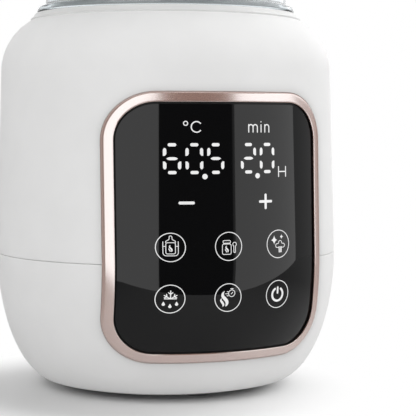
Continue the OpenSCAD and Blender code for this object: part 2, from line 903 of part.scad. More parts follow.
// Lifting basket: slotted cup on a short skirt with two tabs
module bottle_basket() {
    inner_r = basket_r - basket_wall;
    floor_z = basket_z + basket_foot_h;
    slot_low = floor_z + basket_floor_t + slot_sill;
    slot_high = basket_top_z - slot_margin;
    color(pale_grey) difference() {
        union() {
            translate([0, 0, basket_z]) rotate(45) tube(basket_r, inner_r, basket_h + tab_h + cut);
            translate([0, 0, floor_z]) cylinder(r = basket_r - basket_wall / 2, h = basket_floor_t);
        }
        along_x() difference() {
            translate([-well_r, basket_top_z]) square([well_d, tab_h + 2 * cut]);
            tab_outline(0, basket_z);
        }
        for (i = [0 : slot_count - 1]) rotate(360 * (i + 0.5) / slot_count)
            translate([inner_r - cut, -slot_w / 2, slot_low])
                cube([basket_wall + 2 * cut, slot_w, slot_high - slot_low]);
        for (i = [0 : drain_count - 1]) rotate(360 * i / drain_count)
            translate([drain_circle_r, 0, floor_z - cut]) cylinder(r = drain_r, h = basket_floor_t + 2 * cut);
        translate([0, 0, floor_z - cut]) cylinder(r = middle_drain_r, h = basket_floor_t + 2 * cut);
        for (i = [0 : foot_notch_count - 1]) rotate(360 * (i + 0.5) / foot_notch_count)
            translate([inner_r - cut, -foot_notch_w / 2, basket_z - cut])
                cube([basket_wall + 2 * cut, foot_notch_w, foot_notch_h + cut]);
        along_x() tab_outline(tab_frame, basket_top_z + tab_h / 2);
    }
}

// Extrudes an outline drawn in Y and Z right across the body along X
module along_x() {
    translate([-body_r, 0, 0]) rotate([90, 0, 90]) linear_extrude(body_d) children();
}

// Outline of a lifting tab, drawn in by inset, from height low to its round top
module tab_outline(inset, low) {
    r = tab_w / 2 - inset;
    top = tab_top_z - inset;
    translate([-r, low]) square([2 * r, top - r - low]);
    translate([0, top - r]) circle(r);
}

upper_housing();
lower_housing();
base_plate();
feet();
chassis_screws();
well_liner();
plate_seal();
heating_plate();
heater_bracket();
bracket_screws();
heating_element();
thermal_cutout();
temperature_sensor();
power_board();
power_relay();
power_transformer();
filter_capacitor();
terminal_block();
heater_leads();
touch_board();
board_screws();
panel_carrier();
touch_springs();
digit_display();
buzzer();
signal_cable();
panel_bezel();
panel_lens();
cord_gland();
steam_dome();
dome_knob();
knob_screw();
bottle_basket();
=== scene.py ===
import json
from math import acos, asin, copysign, cos, exp, hypot, pi, radians, sin, sqrt, tan

import bmesh
import bpy
from mathutils import Euler, Matrix, Vector


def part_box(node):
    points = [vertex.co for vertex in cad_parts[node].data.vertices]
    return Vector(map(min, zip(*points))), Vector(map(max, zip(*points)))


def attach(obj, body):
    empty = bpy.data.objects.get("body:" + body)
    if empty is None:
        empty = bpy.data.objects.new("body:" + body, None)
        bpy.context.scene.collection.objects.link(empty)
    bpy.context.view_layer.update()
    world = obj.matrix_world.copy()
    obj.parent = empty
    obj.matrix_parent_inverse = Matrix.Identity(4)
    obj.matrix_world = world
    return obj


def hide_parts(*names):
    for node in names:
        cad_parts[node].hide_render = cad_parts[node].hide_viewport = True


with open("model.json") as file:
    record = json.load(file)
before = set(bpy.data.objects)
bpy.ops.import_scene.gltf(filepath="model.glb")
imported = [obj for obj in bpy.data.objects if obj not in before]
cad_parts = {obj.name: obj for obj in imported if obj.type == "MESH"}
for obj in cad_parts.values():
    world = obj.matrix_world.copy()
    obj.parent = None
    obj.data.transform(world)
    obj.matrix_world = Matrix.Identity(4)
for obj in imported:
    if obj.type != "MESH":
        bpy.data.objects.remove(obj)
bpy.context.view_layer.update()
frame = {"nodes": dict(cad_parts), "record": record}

# Shapes are worked out in millimetres and scaled to metres when a mesh is made
MM = 0.001


def low(node, axis):
    """Lowest coordinate of a CAD node along an axis, in millimetres."""
    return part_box(node)[0]["xyz".index(axis)] / MM


def high(node, axis):
    """Highest coordinate of a CAD node along an axis, in millimetres."""
    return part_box(node)[1]["xyz".index(axis)] / MM


# Body
BODY_R = 70.0
BASE_Z = low("base_plate", "z")
BOWL_END_Z = low("lower_housing", "z")
SEAM_Z = high("lower_housing", "z")
SEAT_Z = high("upper_housing", "z")
BOWL_H = SEAM_Z - BASE_Z
BOWL_INSET = 23.8
DRAFT = radians(1.67)
STRAIGHT_H = 74.0
SHOULDER_R = 24.0
SHOULDER_LEAD_H = 1.5
SHOULDER_Z = SEAM_Z + STRAIGHT_H
SHOULDER_CENTRE_R = BODY_R - STRAIGHT_H * tan(DRAFT) - SHOULDER_R * cos(DRAFT)
SHOULDER_CENTRE_Z = SHOULDER_Z - SHOULDER_R * sin(DRAFT)
WALL = 2.5
SEAM_GAP = 0.16
SEAM_DROP = 0.13
TONGUE_H = 2.8
TONGUE_DEPTH = 1.4
TONGUE_ROOM = 0.3
REBATE_DEPTH = 1.2
FLOOR_OPENING_R = 41.7
FLOOR_T = 2.5
SEAT_HOLE_R = 47.4
SEAT_LEDGE_H = 4.0
LIP_R = 0.15
LIP_SEGMENTS = 3
NORMAL_STEP = 0.01

# Control panel
PANEL_HALF_W = high("panel_bezel", "x")
PANEL_TOP_Z = high("panel_bezel", "z")
PANEL_BOTTOM_Z = low("panel_bezel", "z")
PANEL_MID_Z = (PANEL_TOP_Z + PANEL_BOTTOM_Z) / 2
PANEL_HALF_H = (PANEL_TOP_Z - PANEL_BOTTOM_Z) / 2
PANEL_CORNER_R = 18.0
PANEL_FIT = 0.08
# Centre of a corner's round, from the middle of the panel
CORNER_DX = PANEL_HALF_W - PANEL_CORNER_R
CORNER_DZ = PANEL_HALF_H - PANEL_CORNER_R
# Painted shade in the housing's colour beside the panel: its reach, the growth of that to the right, and
# its depth
PANEL_SHADE_REACH = 1.4
PANEL_SHADE_LEAN = 0.4
PANEL_SHADE_DEPTH = 0.26
BEZEL_W = 3.75
BEZEL_PROUD = 0.8
BEZEL_CHAMFER_W = 0.7
BEZEL_LIP_W = 0.5
BEZEL_LIP_DROP = 0.13
BEZEL_LIP_H = 0.4
BEZEL_DEPTH = 2.85
LENS_RECESS = 0.1
LENS_T = 2.4
LENS_RIM_W = 0.8
LENS_RIM_DROP = 0.4
LENS_EASE_H = 5.0
LENS_EASE_STEPS = 16
LENS_SHARP_ANGLE = radians(15)

# Front patch of the housings round the panel, and the steps of the meshes
PATCH_HALF_W = 49.0
PATCH_MARGIN = 5.5
PATCH_LEVELS = (0.0, 0.05, 0.12, 0.22, 0.36, 0.6, 1.0)
SIDE_STEPS = 16
CORNER_STEPS = 16
TOP_STEPS = 24
BACK_STEPS = 120
SHOULDER_STEPS = 18
BOWL_STEPS = 10
TURNS = 128
TOOL_TURNS = 64
SHARP_ANGLE = radians(38)
NEAR_AXIS = 0.01

# Rim of the well, dome and knob
RIM_Z = low("steam_dome", "z")
RIM_R = 55.0
RIM_EDGE_R = 1.5
RIM_FOOT_R = 0.25
RIM_SEAT_GAP = 0.05
WELL_R = 45.0
LINER_R = 47.0
LINER_EDGE_R = 0.3
LINER_LOW_Z = low("well_liner", "z")
BEAD_R = 47.6
BEAD_H = 2.0
BEAD_EDGE_R = 0.8
BEAD_FOOT_R = 0.4
LEDGE_R = 40.5
LEDGE_TOP_Z = low("bottle_basket", "z")
LEDGE_T = 2.0
LEDGE_EDGE_R = 0.5
DOME_INNER_R = 48.0
DOME_WALL = 1.8
DOME_DRAFT = radians(1.2)
DOME_SHOULDER_R = 22.0
DOME_SHOULDER_STEPS = 16
DOME_FLANGE_R = high("steam_dome", "x")
DOME_FLANGE_T = 2.2
DOME_FOOT_DRAW = 0.05
DOME_TOP_Z = high("steam_dome", "z")
DOME_SCREW_R = 1.7
STEAM_CIRCLE_R = 20.0
STEAM_RING_W = 4.5
STEAM_HOLE_R = 2.2
KNOB_R = high("dome_knob", "x")
KNOB_TOP_Z = high("dome_knob", "z")
KNOB_WAIST_R = 9.3
KNOB_EDGE_R = 3.0
KNOB_BORE_R = 1.5
KNOB_BORE_H = 8.0
KNOB_SEAT_GAP = 0.02

# Gland at the back
GLAND_Z = (low("cord_gland", "z") + high("cord_gland", "z")) / 2
GLAND_FACE_Y = 66.5
GLAND_BOSS_R = 9.0
GLAND_BOSS_L = 10.0
GLAND_BOSS_EDGE = 0.8
GLAND_RECESS_R = 8.0
GLAND_HOLE_R = 5.65


# Body surface

def steps_between(start, end, count):
    """Even steps from start to end, both included."""
    return [start + (end - start) * i / count for i in range(count + 1)]


def body_radius(z):
    """Radius of the body's outside at height z."""
    if z < SEAM_Z:
        drop = min((SEAM_Z - z) / BOWL_H, 1)
        return BODY_R - BOWL_INSET * (1 - sqrt(1 - drop * drop))
    if z < SHOULDER_Z:
        return BODY_R - (z - SEAM_Z) * tan(DRAFT)
    rise = z - SHOULDER_CENTRE_Z
    return SHOULDER_CENTRE_R + sqrt(SHOULDER_R ** 2 - rise ** 2)


def body_normal(z):
    """Radial and upward parts of the body's outward normal at height z."""
    slope = (body_radius(z + NORMAL_STEP) - body_radius(z - NORMAL_STEP)) / (2 * NORMAL_STEP)
    length = hypot(1, slope)
    return 1 / length, -slope / length


def lens_radius(z):
    """Radius of the body averaged over a stretch of height, without its crease at the seam."""
    heights = steps_between(z - LENS_EASE_H, z + LENS_EASE_H, LENS_EASE_STEPS)
    return sum(map(body_radius, heights)) / len(heights)


def on_front(x, z, offset=0.0, radius_at=body_radius):
    """Point of the body's front seen at (x, z) along Y, offset outwards."""
    radius = radius_at(z) + offset / body_normal(z)[0]
    return Vector((x, -sqrt(radius * radius - x * x), z))


def around(radius, angle, z):
    """Point at an angle around the axis, counted from the front."""
    return Vector((radius * sin(angle), -radius * cos(angle), z))


def at_radius(point, radius, z):
    """Point at the same angle around the axis as another one."""
    scale = radius / hypot(point.x, point.y)
    return Vector((point.x * scale, point.y * scale, z))


def drawn_in(point, depth, z):
    """Point at the same angle, closer to the axis by depth."""
    return at_radius(point, hypot(point.x, point.y) - depth, z)


def behind(point, blend):
    """Inner point of the wall: straight back where blend is 0, along the normal where it is 1."""
    radial, up = body_normal(point.z)
    along = drawn_in(point, WALL * radial, point.z - WALL * up)
    if blend == 1:
        return along
    return on_front(point.x, point.z, -WALL).lerp(along, blend)


# Mesh helpers

def add_object(name, data):
    item = bpy.data.objects.new(name, data)
    bpy.context.scene.collection.objects.link(item)
    return item


def closed_mesh(name, points, faces):
    """Mesh from points in millimetres, with its faces turned outwards."""
    mesh = bpy.data.meshes.new(name)
    mesh.from_pydata([Vector(point) * MM for point in points], [], faces)
    build = bmesh.new()
    build.from_mesh(mesh)
    bmesh.ops.recalc_face_normals(build, faces=build.faces)
    build.to_mesh(mesh)
    build.free()
    return mesh


def smooth_faces(mesh):
    """Smooth shading apart from sharp edges."""
    mesh.shade_smooth()
    mesh.set_sharp_from_angle(angle=SHARP_ANGLE)


def make_piece(name, points, faces, slot, replaces=(), body="base", look=None, lips=(), groove=None):
    """Piece in its slot's or another look; lips are edges to round, groove picks black faces by number."""
    mesh = closed_mesh(name, points, faces)
    mesh.materials.append(MATERIALS[look or slot])
    if groove:
        mesh.materials.append(MATERIALS["groove_black"])
        for face in mesh.polygons:
            face.material_index = int(groove(face.index))
    smooth_faces(mesh)
    piece = add_object(name, mesh)
    if lips:
        round_lips(piece, lips)
    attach(piece, body)
    if replaces:
        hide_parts(*replaces)
    return piece


def round_lips(piece, lips):
    """Rounds the given edges, each a pair of point numbers."""
    wanted = {tuple(sorted(edge)) for edge in lips}
    weights = piece.data.attributes.new("bevel_weight_edge", "FLOAT", "EDGE")
    for edge in piece.data.edges:
        if tuple(sorted(edge.vertices)) in wanted:
            weights.data[edge.index].value = 1.0
            edge.use_edge_sharp = False
    bevel = piece.modifiers.new("lip", "BEVEL")
    bevel.limit_method = "WEIGHT"
    bevel.width = LIP_R * MM
    bevel.segments = LIP_SEGMENTS


def add_row(points, row):
    """Adds a row to a list of points and returns the row's point numbers."""
    points += row
    return list(range(len(points) - len(row), len(points)))


def ring_faces(rows, closed_rows=True, closed_profile=False):
    """Quads between neighbouring rows of point numbers."""
    faces = []
    last = len(rows) if closed_profile else len(rows) - 1
    for i in range(last):
        row, following = rows[i], rows[(i + 1) % len(rows)]
        count = len(row) if closed_rows else len(row) - 1
        for k in range(count):
            after = (k + 1) % len(row)
            faces.append([row[k], row[after], following[after], following[k]])
    return faces


def lathe(profile, turns=TURNS):
    """Points and faces of a closed profile of (radius, z) turned about Z."""
    points, rows = [], []
    for radius, z in profile:
        row = [around(radius, 2 * pi * k / turns, z) for k in range(turns)]
        rows.append(add_row(points, row))
    return points, ring_faces(rows, closed_profile=True)


def arc(centre, radius, start, end, steps):
    """Points of an arc, with its angles in degrees."""
    angles = [radians(angle) for angle in steps_between(start, end, steps)]
    return [(centre[0] + radius * cos(a), centre[1] + radius * sin(a)) for a in angles]


def filleted(corners, steps=4):
    """Closed outline through corners of (radius, z, fillet), each rounded by its fillet."""
    outline = []
    for i, (r, z, fillet) in enumerate(corners):
        here = Vector((r, z))
        if fillet == 0:
            outline.append((r, z))
            continue
        back = (Vector(corners[i - 1][:2]) - here).normalized()
        on = (Vector(corners[(i + 1) % len(corners)][:2]) - here).normalized()
        half = acos(max(-1, min(1, back.dot(on)))) / 2
        reach = fillet / tan(half)
        centre = here + (back + on).normalized() * (fillet / sin(half))
        first, last = here + back * reach - centre, here + on * reach - centre
        outline += [tuple(centre + first.slerp(last, k / steps)) for k in range(steps + 1)]
    return outline


def carve(piece, operation, profile, place):
    """Joins or cuts a turned solid, given by its profile of (radius, z) and its placing matrix."""
    points, faces = lathe(profile, TOOL_TURNS)
    tool = add_object("tool", closed_mesh("tool", [place @ point for point in points], faces))
    boolean = piece.modifiers.new("carve", "BOOLEAN")
    boolean.operation = operation
    boolean.solver = "EXACT"
    boolean.object = tool
    depsgraph = bpy.context.evaluated_depsgraph_get()
    carved = bpy.data.meshes.new_from_object(piece.evaluated_get(depsgraph))
    carved.name = piece.data.name
    piece.modifiers.clear()
    piece.data = carved
    bpy.data.objects.remove(tool)
    smooth_faces(carved)


class Shell:
    """Wall with an outer and an inner point for each key, and rims that close it."""

    def __init__(self):
        self.points = []
        self.faces = []
        self.pairs = {}
        self.lips = []

    def pair(self, key, outer, inner):
        self.pairs[key] = add_row(self.points, [outer, inner])

    def outer(self, key):
        return self.points[self.pairs[key][0]]

    def quads(self, rows, closed_rows=False):
        """Both sides of the wall between neighbouring rows of keys."""
        for keys in ring_faces(rows, closed_rows):
            for side in (0, 1):
                self.faces.append([self.pairs[key][side] for key in keys])

    def rim(self, keys, chain):
        """Closes the wall along a loop of keys; chain(key) gives the points on the way in."""
        rows = []
        for key in keys:
            outer, inner = self.pairs[key]
            rows.append([outer, *add_row(self.points, chain(key)), inner])
        for here, after in zip(rows, rows[1:] + rows[:1]):
            self.lips.append((here[0], after[0]))
            for i in range(len(here) - 1):
                self.faces.append([here[i], after[i], after[i + 1], here[i + 1]])


# Shader helpers

def put(tree, socket, value):
    """Links an output to a socket, or sets the socket's own value."""
    if isinstance(value, bpy.types.NodeSocket):
        tree.links.new(value, socket)
    else:
        socket.default_value = value


def add_node(tree, kind, inputs, output=0, **settings):
    """Adds a shader node with inputs by name or number, and returns one of its outputs."""
    node = tree.nodes.new("ShaderNode" + kind)
    for name, value in settings.items():
        setattr(node, name, value)
    for key, value in inputs.items():
        put(tree, node.inputs[key], value)
    return node.outputs[output]


def calc(tree, operation, first, second=0.0):
    return add_node(tree, "Math", {0: first, 1: second}, operation=operation)


def map_range(tree, value, source, target, interpolation="LINEAR"):
    """Maps a value from the range source to the range target."""
    inputs = {"Value": value, "From Min": source[0], "From Max": source[1]}
    inputs.update({"To Min": target[0], "To Max": target[1]})
    return add_node(tree, "MapRange", inputs, interpolation_type=interpolation)


def mix_color(tree, factor, first, second):
    inputs = {"Factor": factor, "A": first, "B": second}
    return add_node(tree, "Mix", inputs, "Result", data_type="RGBA")


def noise(tree, scale, detail=3.0, stretch=(1.0, 1.0, 1.0)):
    """Noise in the object's own coordinates; scale is in features per metre."""
    place = add_node(tree, "TexCoord", {}, "Object")
    mapped = add_node(tree, "Mapping", {"Vector": place, "Scale": stretch})
    return add_node(tree, "TexNoise", {"Vector": mapped, "Scale": scale, "Detail": detail}, "Fac")


def seen_directly(tree):
    """1 for rays from the camera or through clear plastic, otherwise 0."""
    camera_ray = add_node(tree, "LightPath", {}, "Is Camera Ray")
    return calc(tree, "MAXIMUM", camera_ray, camera_ray.node.outputs["Is Transmission Ray"])


# Materials

NOISE_SPAN = (0.3, 0.7)
TINT_SCALE = 60
TINT_SPAN = (0.985, 1.015)
GLOSS_SCALE = 220
GLOSS_SPAN = (0.9, 1.1)
ROSE_GOLD = (0.41, 0.212, 0.157)
LENS_BLACK = (0.0015, 0.0015, 0.0018)


def set_shader(material, **sockets):
    """Sets or links inputs of the shader by name, with _ for a space."""
    tree = material.node_tree
    for name, value in sockets.items():
        put(tree, tree.nodes["Principled BSDF"].inputs[name.replace("_", " ")], value)


def new_material(name, color, roughness, **sockets):
    """Material of one shader, and its node tree."""
    material = bpy.data.materials.new(name)
    material.use_nodes = True
    set_shader(material, Base_Color=(*color, 1.0), Roughness=roughness, **sockets)
    return material, material.node_tree


def vary_color(material, color):
    """Makes a colour slightly uneven."""
    tree = material.node_tree
    factor = map_range(tree, noise(tree, TINT_SCALE), NOISE_SPAN, (0.0, 1.0))
    tints = [(*(channel * share for channel in color), 1.0) for share in TINT_SPAN]
    set_shader(material, Base_Color=mix_color(tree, factor, *tints))


def vary_roughness(material, source, span):
    set_shader(material, Roughness=map_range(material.node_tree, source, NOISE_SPAN, span))


def add_bump(material, source, height):
    """Bump of a given height in millimetres."""
    inputs = {"Strength": 1.0, "Distance": height * MM, "Height": source}
    set_shader(material, Normal=add_node(material.node_tree, "Bump", inputs))


def moulded(name, color, roughness, grain, height):
    """Moulded plastic or rubber with a fine grain and slightly uneven gloss."""
    material, tree = new_material(name, color, roughness)
    vary_color(material, color)
    vary_roughness(material, noise(tree, GLOSS_SCALE), [roughness * share for share in GLOSS_SPAN])
    add_bump(material, noise(tree, grain, 2.0), height)
    return material


def paint_panel_shade(material):
    """Paints a soft shade into a material's colour where the panel_nearness of the mesh rises towards 1.
    """
    tree = material.node_tree
    nearness = add_node(tree, "Attribute", {}, "Fac", attribute_name="panel_nearness")
    depth = calc(tree, "MULTIPLY", nearness, PANEL_SHADE_DEPTH)
    plain = tree.nodes["Principled BSDF"].inputs["Base Color"].links[0].from_socket
    set_shader(material, Base_Color=mix_color(tree, depth, plain, (0.0, 0.0, 0.0, 1.0)))


def brushed_steel():
    """Steel with fine drawn lines along Z."""
    material, tree = new_material("steel", (0.56, 0.57, 0.58), 0.32, Metallic=1.0)
    lines = noise(tree, 900, 4.0, (1.0, 1.0, 0.08))
    vary_roughness(material, lines, (0.24, 0.416))
    add_bump(material, lines, 0.01)
    return material


def polished(name, color, span, scale, detail=3.0, **sockets):
    """Smooth material with slightly uneven gloss."""
    material, tree = new_material(name, color, sum(span) / 2, **sockets)
    vary_roughness(material, noise(tree, scale, detail), span)
    return material


def clear_plastic():
    """Clear plastic that tints the light on its way through a thick edge."""
    sockets = {"IOR": 1.46, "Transmission_Weight": 1.0}
    material = polished("dome_clear", (0.97, 0.985, 0.99), (0.01, 0.05), 45, **sockets)
    tree = material.node_tree
    tint = add_node(tree, "VolumeAbsorption", {"Color": (0.74, 0.82, 0.86, 1.0), "Density": 60.0})
    put(tree, tree.nodes["Material Output"].inputs["Volume"], tint)
    return material


def turned_metal():
    """Aluminium plate with fine turning rings about Z."""
    material, tree = new_material("plate_aluminium", (0.62, 0.63, 0.64), 0.35, Metallic=1.0)
    inputs = {"Vector": add_node(tree, "TexCoord", {}, "Object"), "Scale": 400}
    rings = add_node(tree, "TexWave", inputs, "Fac", wave_type="RINGS", rings_direction="Z")
    add_bump(material, rings, 0.02)
    vary_roughness(material, noise(tree, 300), (0.3, 0.42))
    return material


def circuit_board():
    """Solder mask with paler runs of copper under it."""
    color = (0.03, 0.15, 0.07)
    material, tree = new_material("circuit_board", color, 0.4)
    inputs = {"Vector": add_node(tree, "TexCoord", {}, "Object"), "Scale": 180}
    inputs.update({"Color1": (*color, 1), "Color2": (0.03, 0.16, 0.07, 1)})
    inputs["Mortar"] = (0.06, 0.24, 0.11, 1)
    set_shader(material, Base_Color=add_node(tree, "TexBrick", inputs, "Color"))
    vary_roughness(material, noise(tree, 200), (0.35, 0.5))
    return material


def lit_sign():
    """White print lit from behind, slightly uneven."""
    material, tree = new_material("lit_sign", (0.05, 0.05, 0.05), 0.4, Emission_Color=(1.0, 1.0, 1.0, 1.0))
    set_shader(material, Emission_Strength=map_range(tree, noise(tree, 250), NOISE_SPAN, (0.76, 0.84)))
    return material


# Colour, roughness, grain in features per metre and its height in millimetres
MOULDED = {
    "housing_white": ((0.83, 0.828, 0.825), 0.58, 2600, 0.004),
    "inner_grey": ((0.55, 0.55, 0.55), 0.55, 1800, 0.02),
    "inner_white": ((0.74, 0.74, 0.73), 0.5, 1800, 0.01),
    "inner_black": ((0.02, 0.02, 0.022), 0.45, 1800, 0.01),
    "liner_grey": ((0.72, 0.72, 0.715), 0.4, 2200, 0.006),
    "basket_grey": ((0.7, 0.71, 0.71), 0.4, 2200, 0.006),
    "seal_silicone": ((0.45, 0.45, 0.45), 0.6, 1500, 0.01),
    "foot_rubber": ((0.09, 0.09, 0.095), 0.75, 1500, 0.03),
    "gland_grey": ((0.5, 0.5, 0.5), 0.6, 1500, 0.02),
    "terminal_green": ((0.06, 0.22, 0.09), 0.45, 1800, 0.01),
    "lead_red": ((0.35, 0.03, 0.025), 0.5, 1500, 0.01),
    "groove_black": ((0.006, 0.006, 0.006), 0.6, 1500, 0.01),
}
MATERIALS = {name: moulded(name, *look) for name, look in MOULDED.items()}
MATERIALS["steel"] = brushed_steel()
MATERIALS["rose_gold"] = polished("rose_gold", ROSE_GOLD, (0.21, 0.23), 40, 2.0, IOR=5.1)
MATERIALS["lens_black"] = polished("lens_black", LENS_BLACK, (0.02, 0.04), 120, IOR=1.385)
MATERIALS["dome_clear"] = clear_plastic()
MATERIALS["plate_aluminium"] = turned_metal()
MATERIALS["circuit_board"] = circuit_board()
MATERIALS["lit_sign"] = lit_sign()
vary_color(MATERIALS["rose_gold"], ROSE_GOLD)
# painted shade beside the panel, darkening the housing's colour there
paint_panel_shade(MATERIALS["housing_white"])


# Housings

def arch(half_w, foot_z, end_z, corner_z, corner):
    """Path (x, z) from the left foot round a left corner's points and its mirror to the right foot."""
    left = [(-half_w, z) for z in steps_between(foot_z, corner_z, SIDE_STEPS)[:-1]] + corner
    middle = [(x, end_z) for x in steps_between(-CORNER_DX, CORNER_DX, TOP_STEPS)]
    return left + middle + [(-x, z) for x, z in reversed(left)]


def housing(name, node, foot_z, step_depth, step_z, panel_end_z, patch_end_z, cap_levels, hole_r, hole_z):
    """Housing from its stepped edge at the seam to the hole in its end, open where the panel sits."""
    turn = 1 if panel_end_z > foot_z else -1
    corner_z = panel_end_z - turn * PANEL_CORNER_R
    corner_r = PANEL_CORNER_R + PANEL_FIT
    corner = arc((-CORNER_DX, corner_z), corner_r, 180, 180 - 90 * turn, CORNER_STEPS)[:-1]
    opening = arch(PANEL_HALF_W + PANEL_FIT, foot_z, panel_end_z + turn * PANEL_FIT, corner_z, corner)
    half = CORNER_STEPS // 2
    corner = [(-PATCH_HALF_W, z) for z in steps_between(corner_z, patch_end_z, half)[:-1]]
    corner += [(x, patch_end_z) for x in steps_between(-PATCH_HALF_W, -CORNER_DX, half)[:-1]]
    border = arch(PATCH_HALF_W, foot_z, patch_end_z, corner_z, corner)
    last_i, last_j = len(opening) - 1, len(PATCH_LEVELS) - 1
    rows = SIDE_STEPS + half
    shell = Shell()

    def back(row, column):
        """Key round the back, whose first and last columns are the border of the patch."""
        if column in (0, BACK_STEPS):
            return (row if column else last_i - row, last_j)
        return ("back", row, column)

    for i, (start, end) in enumerate(zip(opening, border)):
        for j, level in enumerate(PATCH_LEVELS):
            point = on_front(*(a + (b - a) * level for a, b in zip(start, end)))
            inner = drawn_in(point, WALL, step_z) if i in (0, last_i) else behind(point, level)
            shell.pair((i, j), point, inner)
    for row in range(rows + 1):
        z = border[row][1]
        radius = body_radius(z)
        edge = asin(PATCH_HALF_W / radius)
        for column in range(1, BACK_STEPS):
            point = around(radius, edge + (2 * pi - 2 * edge) * column / BACK_STEPS, z)
            inner = drawn_in(point, WALL, step_z) if row == 0 else behind(point, 1)
            shell.pair(back(row, column), point, inner)
    ring = [(i, last_j) for i in range(rows, last_i - rows + 1)]
    ring += [back(rows, column) for column in range(1, BACK_STEPS)]
    caps = [ring]
    for level, z in enumerate(cap_levels, 1):
        caps.append([("cap", level, k) for k in range(len(ring))])
        for key, start in zip(caps[-1], ring):
            point = at_radius(shell.outer(start), body_radius(z), z)
            inner = at_radius(point, hole_r, hole_z) if level == len(cap_levels) else behind(point, 1)
            shell.pair(key, point, inner)
    shell.quads([[(i, j) for i in range(last_i + 1)] for j in range(last_j + 1)])
    shell.quads([[back(row, column) for column in range(BACK_STEPS + 1)] for row in range(rows + 1)])
    shell.quads(caps, closed_rows=True)

    def edge_chain(key):
        if len(key) == 2 and key[1] == 0 and 0 < key[0] < last_i:
            outer, inner = (shell.points[n] for n in shell.pairs[key])
            return [outer.lerp(inner, 1 / 3), outer.lerp(inner, 2 / 3)]
        return [drawn_in(shell.outer(key), step_depth, z) for z in (foot_z, step_z)]

    def end_chain(key):
        return [at_radius(shell.outer(key), radius, cap_levels[-1]) for radius in (hole_r + WALL, hole_r)]

    edge = [(i, 0) for i in range(last_i + 1)]
    edge += [(last_i, j) for j in range(1, last_j + 1)]
    edge += [back(0, column) for column in range(1, BACK_STEPS)]
    edge += [(0, j) for j in range(last_j, 0, -1)]
    shell.rim(edge, edge_chain)
    shell.rim(caps[-1], end_chain)
    return make_piece(name, shell.points, shell.faces, "housing_white", [node], lips=shell.lips)


def past_corner(x, z):
    """How far a point lies past the centre of the panel's corner, sideways and upright."""
    return abs(x) - CORNER_DX, abs(z - PANEL_MID_Z) - CORNER_DZ


def panel_distance(x, z):
    """Distance in front view from the outer edge of the panel."""
    over_x, over_z = past_corner(x, z)
    inside = min(max(over_x, over_z), 0)
    return max(hypot(max(over_x, 0), max(over_z, 0)) + inside - PANEL_CORNER_R, 0)


def mark_panel_nearness(piece):
    """Stores 1 at the panel's edge, falling towards 0 away from it, more slowly on the right, for the
    painted shade there.
    """
    nearness = piece.data.attributes.new("panel_nearness", "FLOAT", "POINT")
    for vertex, item in zip(piece.data.vertices, nearness.data):
        if vertex.co.y < 0:
            x, z = vertex.co.x / MM, vertex.co.z / MM
            reach = PANEL_SHADE_REACH + PANEL_SHADE_LEAN * x / PANEL_HALF_W
            item.value = exp(-panel_distance(x, z) / reach)


def eased(start, end, steps):
    """Levels from start to end, closer together towards the end."""
    return [start + (end - start) * sin(pi / 2 * i / steps) for i in range(1, steps + 1)]


def upper_housing():
    levels = [SHOULDER_Z - SHOULDER_LEAD_H, SHOULDER_Z] + eased(SHOULDER_Z, SEAT_Z, SHOULDER_STEPS)
    piece = housing(
        "upper_housing_skin", "upper_housing",
        foot_z=SEAM_Z - SEAM_DROP + SEAM_GAP, step_depth=TONGUE_DEPTH, step_z=SEAM_Z - TONGUE_H,
        panel_end_z=PANEL_TOP_Z, patch_end_z=PANEL_TOP_Z + PATCH_MARGIN, cap_levels=levels,
        hole_r=SEAT_HOLE_R, hole_z=SEAT_Z - SEAT_LEDGE_H)
    mark_panel_nearness(piece)


def lower_housing():
    patch_end_z = PANEL_BOTTOM_Z - PATCH_MARGIN
    levels = eased(patch_end_z, BOWL_END_Z, BOWL_STEPS)
    piece = housing(
        "lower_housing_skin", "lower_housing",
        foot_z=SEAM_Z - SEAM_DROP, step_depth=REBATE_DEPTH, step_z=SEAM_Z - TONGUE_H - TONGUE_ROOM,
        panel_end_z=PANEL_BOTTOM_Z, patch_end_z=patch_end_z, cap_levels=levels,
        hole_r=FLOOR_OPENING_R, hole_z=BOWL_END_Z + FLOOR_T)
    back = Matrix.Translation((0, GLAND_FACE_Y, GLAND_Z)) @ Matrix.Rotation(radians(-90), 4, "X")
    boss = filleted([
        (NEAR_AXIS, -GLAND_BOSS_L, 0), (GLAND_BOSS_R, -GLAND_BOSS_L, 0),
        (GLAND_BOSS_R, 0, GLAND_BOSS_EDGE), (NEAR_AXIS, 0, 0)])
    bore = [
        (NEAR_AXIS, -2 * GLAND_BOSS_L), (GLAND_HOLE_R, -2 * GLAND_BOSS_L), (GLAND_HOLE_R, 0),
        (GLAND_RECESS_R, 0), (GLAND_RECESS_R, GLAND_BOSS_L), (NEAR_AXIS, GLAND_BOSS_L)]
    carve(piece, "UNION", boss, back)
    carve(piece, "DIFFERENCE", bore, back)
    mark_panel_nearness(piece)


# Control panel

def panel_outline():
    """Samples (x, z, normal x, normal z) round the outer edge of the panel."""
    samples = []
    for quarter, (sx, sz) in enumerate([(1, 1), (-1, 1), (-1, -1), (1, -1)]):
        for i in range(CORNER_STEPS + 1):
            angle = pi / 2 * (quarter + i / CORNER_STEPS)
            nx, nz = cos(angle), sin(angle)
            x = sx * CORNER_DX + PANEL_CORNER_R * nx
            z = sz * CORNER_DZ + PANEL_CORNER_R * nz
            samples.append((x, PANEL_MID_Z + z, nx, nz))
        x, z, nx, nz = samples[-1]
        run = 2 * (CORNER_DX if quarter % 2 == 0 else CORNER_DZ)
        for i in range(1, TOP_STEPS):
            along = run * i / TOP_STEPS
            samples.append((x - nz * along, z + nx * along, nx, nz))
    return samples


